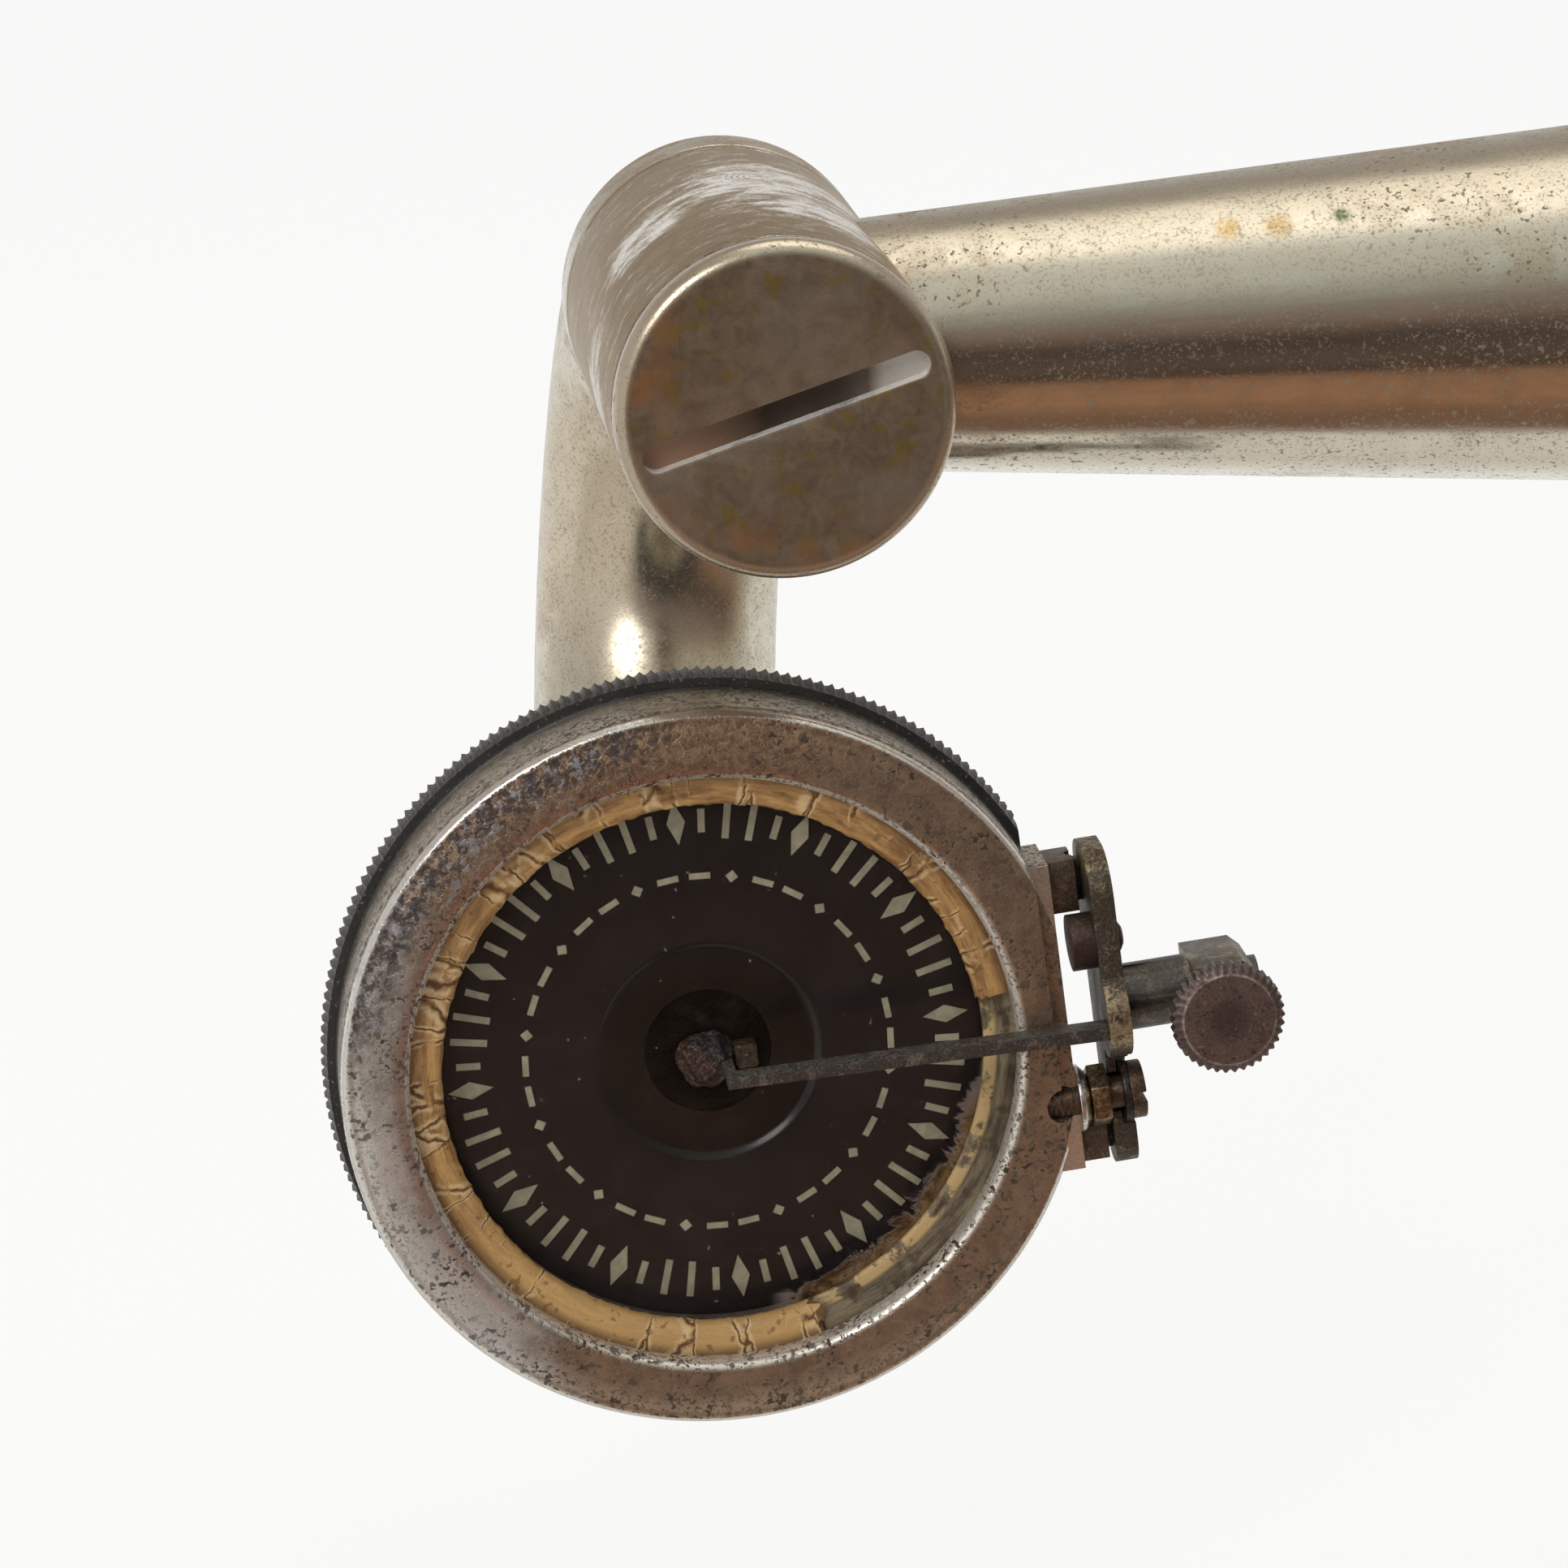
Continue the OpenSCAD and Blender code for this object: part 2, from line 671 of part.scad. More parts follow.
// Knurled back flange, flat on one side to clear the stylus bar
module knurled_flange() {
    color([0.07, 0.07, 0.07]) at_box() difference() {
        translate([0, flange_y, 0]) along_y()
            linear_extrude(height = flange_t) polygon(knurl(flange_r, flange_tooth, flange_teeth));
        translate([0, flange_y - eps, 0]) along_y() cylinder(r = flange_bore_r, h = flange_t + 2 * eps);
        translate([flange_flat_x, flange_y - 1, -flange_r]) cube([flange_r, flange_t + 2, 2 * flange_r]);
        around_box(3, 60) translate([case_screw_circle_r, flange_y - eps, 0]) along_y() {
            cylinder(r = screw_r + seat_gap, h = flange_t + 2 * eps);
            translate([0, 0, flange_t - screw_head_t])
                cylinder(r = screw_head_r + seat_gap, h = screw_head_t + 1);
        }
        around_box(3) translate([collar_screw_circle_r, collar_y - collar_screw_len - 0.2, 0]) along_y()
            cylinder(r = screw_r + seat_gap, h = collar_screw_len + 1);
    }
}

// Collar with the bayonet slot that grips the gooseneck's tail
module bayonet_collar() {
    slot_margin = asin(pin_slot_half / neck_r);
    color([0.7, 0.66, 0.58]) at_box() difference() {
        union() {
            translate([0, collar_y, 0]) along_y() cylinder(r = collar_r, h = collar_len);
            translate([0, collar_y, 0]) along_y() cylinder(r = collar_r + collar_foot, h = collar_foot_t);
        }
        translate([0, collar_y - eps, 0]) along_y() cylinder(r = neck_r + run_gap, h = collar_len + 2 * eps);
        rotate([0, -box_turn - twist - slot_margin, 0])
            translate([0, pin_y + pin_slot_half, 0]) rotate([90, 0, 0])
            rotate([0, 0, 90 - twist - 2 * slot_margin])
            rotate_extrude(angle = twist + 2 * slot_margin)
            translate([neck_r - pin_root, 0]) square([collar_wall + 2, 2 * pin_slot_half]);
        rotate([0, -box_turn - twist, 0])
            translate([-pin_slot_half, pin_y, neck_r - pin_root])
            cube([2 * pin_slot_half, collar_len, collar_wall + 2]);
        around_box(3) translate([collar_screw_circle_r, collar_y - eps, 0]) along_y()
            cylinder(r = screw_r + seat_gap, h = collar_foot_t + 2 * eps);
    }
}

// Slotted screw with a round head, its head's underside at the origin, pointing along -Z
module small_screw(len) {
    difference() {
        union() {
            translate([0, 0, -len]) cylinder(r = screw_r, h = len + eps);
            cylinder(r = screw_head_r, h = screw_head_t);
        }
        translate([-2 * screw_head_r, -0.25, screw_head_t * 0.5]) cube([4 * screw_head_r, 0.5, screw_head_t]);
    }
}

// Screws that clamp the knurled flange to the casing
module case_screws() {
    color([0.4, 0.34, 0.28]) at_box() around_box(3, 60)
        translate([case_screw_circle_r, collar_y - screw_head_t, 0]) along_y()
        small_screw(flange_t - screw_head_t + case_screw_len);
}

// Screws that hold the collar to the knurled flange
module collar_screws() {
    color([0.4, 0.34, 0.28]) at_box() around_box(3)
        translate([collar_screw_circle_r, collar_y + collar_foot_t, 0]) along_y()
        small_screw(collar_foot_t + collar_screw_len);
}

// Places of the two knife edges along the pad
module knife_places() {
    for (side = [-1, 1]) translate([0, pivot_y, yoke_mid + side * pivot_half]) children();
}

// Blocks on the pad, each with a round bed for a knife edge
module knife_blocks() {
    color([0.2, 0.16, 0.13]) at_box() difference() {
        knife_places() difference() {
            translate([pad_x, -knife_block_d / 2, -knife_block_h / 2])
                cube([block_face_x - pad_x, knife_block_d, knife_block_h]);
            translate([pivot_x, 0, -knife_block_h]) cylinder(r = knife_r + run_gap, h = 2 * knife_block_h);
        }
        translate([pad_x - eps, tension_y, -tension_z]) along_x() cylinder(r = cup_r + seam_gap, h = pivot_x);
    }
}

// Slotted screw that draws the yoke towards the casing
module tension_screw() {
    head_x = tension_seat_x + spring_gap + spring_t;
    color([0.25, 0.19, 0.16]) at_box() translate([0, tension_y, -tension_z]) difference() {
        union() {
            translate([pad_x - tension_in, 0, 0]) along_x()
                cylinder(r = tension_r, h = head_x - pad_x + tension_in + eps);
            translate([head_x, 0, 0]) along_x() cylinder(r = tension_head_r, h = tension_head_t);
        }
        translate([head_x + tension_head_t / 2, -2 * tension_head_r, -tension_slot_w / 2])
            cube([tension_head_t, 4 * tension_head_r, tension_slot_w]);
    }
}

// Split washer under the tension screw's head
module spring_washer() {
    spring_x = tension_seat_x + spring_gap;
    color([0.3, 0.24, 0.2]) at_box() translate([spring_x, tension_y, -tension_z]) difference() {
        along_x() tube(spring_r, tension_r + seam_gap, spring_t);
        translate([-eps, -spring_split / 2, 0]) cube([spring_t + 2 * eps, spring_split, 2 * tension_head_r]);
    }
}

// Six-sided nut on the tension screw
module lock_nut() {
    color([0.62, 0.5, 0.28]) at_box()
        translate([pad_x + cup_t, tension_y, -tension_z]) along_x() difference() {
            cylinder(r = lock_nut_r, h = lock_nut_t, $fn = 6);
            translate([0, 0, -eps]) cylinder(r = tension_r + seat_gap, h = lock_nut_t + 2 * eps);
        }
}

// Cupped washer between the nut and the pad
module cup_washer() {
    color([0.8, 0.78, 0.74]) at_box()
        translate([pad_x, tension_y, -tension_z]) along_x() rotate_extrude() polygon([
            [tension_r + seat_gap, 0], [cup_r, 0], [cup_r, cup_t * 0.35],
            [cup_r * 0.8, cup_t * 0.8], [cup_r * 0.6, cup_t], [tension_r + seat_gap, cup_t]
        ]);
}

// Plate that rocks on the knife edges and carries the needle tube and the stylus arm
module yoke_plate() {
    end_z = pivot_half + 2.75 - plate_end_r;
    shoulder_z = yoke_mid + end_z + plate_end_r - shoulder_r;
    color([0.45, 0.37, 0.26]) at_box() difference() {
        union() {
            for (side = [-1, 1]) translate([plate_x, pivot_y, yoke_mid + side * end_z])
                along_x() cylinder(r = plate_end_r, h = plate_t);
            translate([plate_x, pivot_y - plate_end_r, yoke_mid - end_z])
                cube([plate_t, 2 * plate_end_r, 2 * end_z]);
            translate([plate_x, lobe_y, 0]) along_x() cylinder(r = lobe_r, h = plate_t);
            translate([plate_x, plate_front_y + shoulder_r, shoulder_z])
                along_x() cylinder(r = shoulder_r, h = plate_t);
            translate([plate_x, plate_front_y, 0]) cube([plate_t, pivot_y - plate_front_y, shoulder_z]);
            translate([plate_x, plate_front_y + shoulder_r, shoulder_z])
                cube([plate_t, pivot_y - plate_front_y - shoulder_r, shoulder_r]);
            knife_places() translate([pivot_x, 0, -knife_len / 2]) cylinder(r = knife_r, h = knife_len);
        }
        translate([plate_x - eps, tension_y, -tension_z]) along_x()
            cylinder(r = tension_r + pass_gap, h = plate_t + 2 * eps);
        translate([tension_seat_x, tension_y, -tension_z]) along_x()
            cylinder(r = tension_recess_r, h = plate_t);
        translate([plate_x - eps, stop_y, stop_z]) along_x()
            cylinder(r = stop_shank_r + seat_gap, h = plate_t + 2 * eps);
    }
}

// Tapered arm from the yoke to the middle of the mica, with its bent foot
module stylus_arm() {
    foot_back_y = mica_y - pass_gap - foot_nut_t;
    color([0.24, 0.21, 0.2]) at_box() {
        translate([0, bar_y + bar_d, 0]) rotate([90, 0, 0]) linear_extrude(height = bar_d) polygon([
            [bar_foot_x - foot_w, -bar_tip_h / 2], [plate_x, bar_yoke_z - bar_h / 2],
            [plate_x, bar_yoke_z + bar_h / 2], [bar_foot_x - foot_w, bar_tip_h / 2]
        ]);
        translate([bar_foot_x - foot_w, bar_y + bar_d - eps, -bar_tip_h / 2])
            cube([foot_w, foot_back_y - bar_y - bar_d + eps, bar_tip_h]);
        translate([toe_x, foot_back_y - toe_t, -bar_tip_h / 2])
            cube([bar_foot_x - toe_x, toe_t, bar_tip_h]);
        translate([0, foot_back_y - eps, 0]) along_y()
            cylinder(r = foot_screw_r, h = foot_nut_t + 2 * pass_gap + mica_t + 0.4);
    }
}

// Needle tube and clamp block in one piece, bored for the needle and the thumb screw
module needle_holder() {
    color([0.3, 0.26, 0.23]) at_box() translate([0, needle_y, needle_z]) difference() {
        union() {
            translate([plate_out_x, 0, 0]) along_x() cylinder(r = tube_r, h = tube_len + eps);
            translate([block_x, block_d / 2, 0]) rotate([90, 0, 0]) linear_extrude(height = block_d) polygon([
                [0, -block_h / 2], [block_len - block_chamfer, -block_h / 2],
                [block_len, -block_h / 2 + block_chamfer], [block_len, block_h / 2 - block_chamfer],
                [block_len - block_chamfer, block_h / 2], [0, block_h / 2]
            ]);
            translate([block_out_x - eps, 0, 0]) along_x() cylinder(r = boss_r, h = boss_len + eps);
        }
        translate([plate_out_x + tube_floor, 0, 0]) along_x()
            cylinder(r = needle_r, h = block_out_x + boss_len);
        translate([thumb_x, 0, 0]) rotate([90, 0, 0]) cylinder(r = thumb_shank_r + run_gap, h = block_d);
    }
}

// Round-headed screw in the yoke that meets the pad when the bar rocks too far
module stop_screw() {
    head_x = pad_x + stop_gap;
    color([0.22, 0.14, 0.12]) at_box() translate([0, stop_y, stop_z]) {
        translate([head_x, 0, 0]) along_x() cylinder(r = stop_head_r, h = plate_x - head_x);
        translate([plate_x - eps, 0, 0]) along_x() cylinder(r = stop_shank_r, h = plate_t + stop_tip / 2);
        translate([plate_out_x + stop_tip / 2 - 2 * eps, 0, 0]) along_x()
            cylinder(r1 = stop_shank_r, r2 = stop_shank_r * 0.6, h = stop_tip / 2);
    }
}

// Small nut on the stylus arm's screw, in front of the mica
module foot_nut() {
    nut_y = mica_y - pass_gap - foot_nut_t;
    color([0.5, 0.38, 0.2]) at_box() translate([0, nut_y, 0]) along_y() difference() {
        cylinder(r = foot_nut_r, h = foot_nut_t, $fn = 6);
        translate([0, 0, -eps]) cylinder(r = foot_screw_r + seat_gap, h = foot_nut_t + 2 * eps);
    }
}

// Wax round the foot in front of the mica, with a square lump beside it
module wax_seal() {
    back_y = mica_y - pass_gap;
    foot_back_y = back_y - foot_nut_t;
    color([0.4, 0.2, 0.15]) at_box() difference() {
        union() {
            translate([wax_x, back_y, wax_z]) rotate([90, 0, 0]) intersection() {
                scale([1, 1, wax_h / wax_r]) sphere(r = wax_r);
                translate([-2 * wax_r, -2 * wax_r, 0]) cube([4 * wax_r, 4 * wax_r, wax_r]);
            }
            translate([lump_x - lump_w / 2, back_y - lump_t, wax_z - lump_h / 2])
                cube([lump_w, lump_t, lump_h]);
            translate([wax_x, back_y - lump_t / 2, wax_z - lump_h / 2])
                cube([lump_x - wax_x, lump_t / 2, lump_h]);
        }
        translate([0, foot_back_y - seat_gap, 0]) along_y()
            cylinder(r = foot_nut_r + seam_gap, h = foot_nut_t + 1, $fn = 6);
        translate([bar_foot_x - foot_w - seat_gap, bar_y, -bar_tip_h / 2 - seat_gap])
            cube([foot_w + 2 * seat_gap, foot_back_y - bar_y, bar_tip_h + 2 * seat_gap]);
        translate([toe_x - seat_gap, foot_back_y - toe_t - seat_gap, -bar_tip_h / 2 - seat_gap])
            cube([bar_foot_x - toe_x, toe_t + 2 * seat_gap, bar_tip_h + 2 * seat_gap]);
    }
}

// Knurled screw that clamps the needle
module thumb_screw() {
    color([0.27, 0.2, 0.18]) at_box() translate([thumb_x, 0, needle_z]) {
        translate([0, thumb_back_y - thumb_t, 0]) along_y() intersection() {
            linear_extrude(height = thumb_t) polygon(knurl(thumb_r, thumb_tooth, thumb_teeth));
            cylinder(r1 = thumb_r - thumb_bevel, r2 = thumb_r - thumb_bevel + thumb_t, h = thumb_t);
        }
        translate([0, thumb_back_y - eps, 0]) along_y()
            cylinder(r = thumb_shank_r, h = thumb_tip_y - thumb_back_y + eps);
    }
}

base_flange();
bearing_balls();
felt_seal();
taper_tube();
rear_elbow();
elbow_ferrule();
cross_tube();
bearing_collar();
ring_nut();
friction_washer();
gooseneck_tube();
cap_screw();
bayonet_pin();
casing_ring();
front_gasket();
diaphragm();
rear_gasket();
dial();
knurled_flange();
bayonet_collar();
case_screws();
collar_screws();
knife_blocks();
tension_screw();
spring_washer();
lock_nut();
cup_washer();
yoke_plate();
stylus_arm();
needle_holder();
stop_screw();
foot_nut();
wax_seal();
thumb_screw();
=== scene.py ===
"""Finished look of a gramophone tone arm with its gooseneck and mica sound box."""

import json
import math
from functools import reduce
from types import SimpleNamespace

import bmesh
import bpy
from bpy.props import FloatProperty, FloatVectorProperty, IntProperty, PointerProperty
from mathutils import Matrix, Vector, noise


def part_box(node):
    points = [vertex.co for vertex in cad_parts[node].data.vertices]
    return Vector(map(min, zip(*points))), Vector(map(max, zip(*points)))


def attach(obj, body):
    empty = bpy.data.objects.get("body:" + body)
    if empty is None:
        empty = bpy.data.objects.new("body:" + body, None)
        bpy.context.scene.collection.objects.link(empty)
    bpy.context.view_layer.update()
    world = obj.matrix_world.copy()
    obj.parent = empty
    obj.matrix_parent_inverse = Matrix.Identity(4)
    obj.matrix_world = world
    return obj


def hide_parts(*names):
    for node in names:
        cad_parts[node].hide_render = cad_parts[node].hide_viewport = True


bl_info = {
    "name": "Gramophone tone arm",
    "version": (1, 0, 0),
    "blender": (4, 5, 0),
    "location": "View3D > Sidebar > Tone arm",
    "description": "Builds the visible pieces of a tone arm and its mica sound box on the packed frame",
    "category": "Add Mesh",
}

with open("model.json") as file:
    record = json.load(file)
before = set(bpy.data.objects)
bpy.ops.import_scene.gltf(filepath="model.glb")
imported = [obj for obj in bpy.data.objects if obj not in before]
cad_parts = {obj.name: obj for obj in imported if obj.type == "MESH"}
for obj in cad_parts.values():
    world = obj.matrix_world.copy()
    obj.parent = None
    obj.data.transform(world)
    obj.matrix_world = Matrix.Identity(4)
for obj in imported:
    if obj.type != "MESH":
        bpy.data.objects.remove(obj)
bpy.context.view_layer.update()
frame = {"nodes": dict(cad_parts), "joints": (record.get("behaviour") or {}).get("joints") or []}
JOINTS = {joint["name"]: joint for joint in frame["joints"]}
MM = 0.001
FULL_TURN = 2 * math.pi
MERGE = 1e-5
SEAM = 1e-4
CORNER_STEPS = 3
CORNER_SHARE = 0.45
THREAD_PITCH = 0.42
MARK_T = 0.06
GASKET_MIDDLE_R = 20.5
TENSION_Z = -6.45
CASE_SCREW_CIRCLE = 23.965
CASE_SCREW_TURNS = (60, 180, 300)
COLLAR_SCREW_CIRCLE = 13.8
COLLAR_SCREW_TURNS = (0, 120, 240)
SCREW_HOLE_R = 0.92
SCREW_HEAD_R = 1.72


def millimetre_frame(origin, turn=0.0):
    """Matrix from millimetres about a point, turned about Y, to the frame's metres."""
    return Matrix.Translation(origin) @ Matrix.Rotation(turn, 4, "Y") @ Matrix.Scale(MM, 4)


CROSS_AT = Vector(JOINTS["gooseneck_lift"]["pos_m"])
BOX_AT = Vector(JOINTS["soundbox_twist"]["pos_m"])
BOX_UP = Vector(JOINTS["stylus_rock"]["axis"])
NECK_HANG = math.atan2(CROSS_AT.x - BOX_AT.x, CROSS_AT.z - BOX_AT.z)
BOX_TURN = math.atan2(BOX_UP.x, BOX_UP.z)
AT_BASE = millimetre_frame((0, 0, 0))
AT_ARM = millimetre_frame((0, 0, CROSS_AT.z))
AT_CROSS = millimetre_frame(CROSS_AT)
AT_NECK = millimetre_frame(CROSS_AT, NECK_HANG)
AT_BOX = millimetre_frame(BOX_AT, BOX_TURN)


def length(name, description, value):
    """Property for a size that is given in millimetres."""
    return FloatProperty(name=name, description=description, default=value * MM, min=0.0,
                         unit="LENGTH", precision=5)


def colour(name, description, value):
    """Property for a linear colour."""
    return FloatVectorProperty(name=name, description=description, default=value, size=3,
                               subtype="COLOR", min=0.0, max=1.0)


class ToneArmSizes(bpy.types.PropertyGroup):
    """Sizes of the arm, the cross tube, the gooseneck and the base."""

    small_r: length("Small end", "Radius of the taper tube on the cross tube's axis", 8)
    big_r: length("Big end", "Radius of the elbow and the taper tube's big end", 20.7)
    wall: length("Wall", "Wall of the taper tube and the elbow", 1.6)
    elbow_r: length("Elbow bend", "Bend radius of the elbow on its centre line", 36)
    ferrule_w: length("Ferrule width", "Width of the ferrule on the elbow's joint", 7)
    ferrule_proud: length("Ferrule height", "How far the ferrule stands proud", 1.2)
    spigot_bottom: length("Spigot end", "Height of the spigot's lower end", 6.5)
    cross_r: length("Cross tube", "Radius of the cross tube", 11.2)
    cross_half: length("Cross tube half length", "Half the length of the cross tube", 18.6)
    cross_wall: length("Cross tube wall", "Wall of the cross tube", 1.55)
    neck_r: length("Gooseneck", "Radius of the gooseneck", 9.35)
    neck_wall: length("Gooseneck wall", "Wall of the gooseneck", 1.3)
    neck_drop: length("Gooseneck drop", "Height between the gooseneck's two ends", 50.2)
    flare_straight: length("Flare land", "Straight part of the gooseneck's shoulder", 4)
    flare: length("Flare", "Length of the gooseneck's shoulder", 9)
    tail_front: length("Tail end", "Place of the tail's end in front of the cross tube's middle", 5.7)


class SoundBoxSizes(bpy.types.PropertyGroup):
    """Sizes of the sound box and its stylus bar."""

    case_r: length("Casing", "Radius of the casing ring", 26)
    bore_r: length("Bore", "Radius of the casing's bore", 21.93)
    lip_r: length("Lip", "Inner radius of the front lip", 21.24)
    lip_proud: length("Lip height", "How far the lip stands in front of the ridge", 0.7)
    lip_back: length("Lip depth", "Depth of the lip behind the ridge", 1.0)
    ridge_w: length("Ridge", "Radius of the rounded ridge", 0.8)
    case_depth: length("Casing depth", "Depth of the casing ring", 6.0)
    pad_x: length("Pad", "Distance of the stylus bar's pad from the axis", 24.9)
    pad_half: length("Pad half length", "Half the length of the pad", 11.2)
    gasket_r: length("Gasket", "Inner radius of the paper gasket", 18.9)
    gasket_outer_r: length("Gasket rim", "Outer radius of the paper gasket", 21.73)
    gasket_t: length("Gasket thickness", "Thickness of a gasket", 1.8)
    dial_y: length("Dial depth", "Depth of the dial's face", 4.8)
    dial_t: length("Dial thickness", "Thickness of the dial", 1.2)
    dial_r: length("Dial", "Radius of the dial", 21.83)
    dish_r: length("Dish", "Radius of the dial's dish", 7.3)
    dial_hole_r: length("Sound hole", "Radius of the hole in the dial", 4.5)
    flange_r: length("Flange", "Radius over the flange's teeth", 27.05)
    flange_tooth: length("Flange tooth", "Height of the flange's teeth", 0.4)
    flange_t: length("Flange thickness", "Thickness of the back flange", 3.2)
    flange_bore_r: length("Flange bore", "Radius of the flange's bore", 8.05)
    flange_flat_x: length("Flange flat", "Distance of the flange's flat from the axis", 23.9)
    flange_teeth: IntProperty(name="Flange teeth", description="Number of teeth round the flange",
                              default=210, min=60, max=300)
    thumb_x: length("Thumb screw place", "Distance of the thumb screw from the axis", 34.997)
    thumb_z: length("Thumb screw height", "Height of the thumb screw above the axis", 0.5)
    thumb_r: length("Thumb screw", "Radius over the thumb screw's teeth", 3.95)
    thumb_tooth: length("Thumb screw tooth", "Height of the thumb screw's teeth", 0.25)
    thumb_shank_r: length("Thumb screw shank", "Radius of the thumb screw's shank", 1.1)
    thumb_teeth: IntProperty(name="Thumb screw teeth", description="Number of teeth round the screw's head",
                             default=38, min=12, max=80)


class ToneArmColours(bpy.types.PropertyGroup):
    """Colours of the finishes."""

    nickel: colour("Nickel", "Worn nickel plate", (0.79, 0.735, 0.61))
    stain: colour("Stain", "Tan stain on the nickel", (0.46, 0.36, 0.24))
    browned: colour("Browned plate", "Plate that has browned", (0.41, 0.285, 0.195))
    tarnish: colour("Tarnish", "Blue-black tarnish on the casing", (0.06, 0.066, 0.09))
    pit: colour("Pits", "Dark brown pits in the plate", (0.055, 0.032, 0.016))
    paper: colour("Paper", "Ochre paper of the gasket", (0.53, 0.295, 0.098))
    paper_dark: colour("Old paper", "Darkened paper", (0.22, 0.1, 0.029))
    dial: colour("Dial", "Brown-black lacquer of the dial", (0.0062, 0.0042, 0.0036))
    mark: colour("Marks", "Cream marks on the dial", (0.37, 0.33, 0.215))
    rubber: colour("Hard rubber", "Black hard rubber of the flange", (0.022, 0.021, 0.021))
    dust: colour("Dust", "Grey dust", (0.25, 0.23, 0.195))
    steel: colour("Dark steel", "Darkened steel of the stylus arm", (0.125, 0.112, 0.104))
    brass: colour("Worn brass", "Brass that shows through", (0.5, 0.39, 0.235))
    brown_steel: colour("Brown steel", "Red-brown steel of the screws", (0.115, 0.07, 0.055))
    wax: colour("Wax", "Red-brown sealing wax", (0.08, 0.029, 0.02))
    felt: colour("Felt", "Grey-green felt", (0.12, 0.13, 0.09))


class StudioSettings(bpy.types.PropertyGroup):
    """Light and floor of the studio."""

    key_power: FloatProperty(name="Key light", description="Power of the soft key light",
                             default=3.2, min=0.0, unit="POWER")
    top_power: FloatProperty(name="Top light", description="Power of the overhead soft light",
                             default=2.6, min=0.0, unit="POWER")
    sky: FloatProperty(name="Room light", description="Strength of the even light all round",
                       default=0.5, min=0.0)
    floor: colour("Floor", "Pale floor", (0.93, 0.93, 0.92))


def in_mm(group):
    """Values of a group of sizes in millimetres."""
    values = {}
    for name in group.__annotations__:
        value = getattr(group, name)
        values[name] = value if isinstance(value, int) else value / MM
    return SimpleNamespace(**values)


def tint(value):
    """Colour with full alpha."""
    return (value[0], value[1], value[2], 1.0)


def shaded(value, share):
    """Colour made darker or lighter by a share."""
    return tuple(part * share for part in value)


class Wiring:
    """Adds, sets and links the nodes of one node tree."""

    def __init__(self, tree):
        self.tree = tree

    def node(self, kind, inputs=None, **settings):
        """Adds a node and fills or links its inputs."""
        made = self.tree.nodes.new(kind)
        for name, value in settings.items():
            setattr(made, name, value)
        for key, value in (inputs or {}).items():
            self.feed(made.inputs[key], value)
        return made

    def feed(self, socket, value):
        """Links a socket to another's output or sets its value."""
        if isinstance(value, bpy.types.NodeSocket):
            self.tree.links.new(value, socket)
        elif socket.type == "RGBA" and len(value) == 3:
            socket.default_value = tint(value)
        else:
            socket.default_value = value

    def math(self, operation, a, b=0.0):
        return self.node("ShaderNodeMath", {0: a, 1: b}, operation=operation).outputs[0]

    def product(self, *values):
        return reduce(lambda a, b: self.math("MULTIPLY", a, b), values)

    def total(self, *values):
        return reduce(lambda a, b: self.math("ADD", a, b), values)

    def most(self, *values):
        return reduce(lambda a, b: self.math("MAXIMUM", a, b), values)

    def levels(self, value, low, high, out_low=0.0, out_high=1.0):
        """Clamped change from one range to another."""
        return self.node("ShaderNodeMapRange", {
            "Value": value, "From Min": low, "From Max": high, "To Min": out_low, "To Max": out_high,
        }, interpolation_type="SMOOTHSTEP").outputs["Result"]

    def mix(self, amount, a, b):
        """Mix of two colours."""
        return self.node("ShaderNodeMix", {0: amount, 6: a, 7: b}, data_type="RGBA").outputs[2]

    def ramp(self, value, *stops):
        """Colour that changes along a value through stops of [place, colour]."""
        made = self.node("ShaderNodeValToRGB", {"Fac": value})
        line = made.color_ramp.elements
        for end, (place, shade) in ((line[0], stops[0]), (line[1], stops[-1])):
            end.position = place
            end.color = tint(shade)
        for place, shade in stops[1:-1]:
            line.new(place).color = tint(shade)
        return made.outputs["Color"]

    def parts(self, vector):
        """The three parts of a vector."""
        return self.node("ShaderNodeSeparateXYZ", {"Vector": vector}).outputs


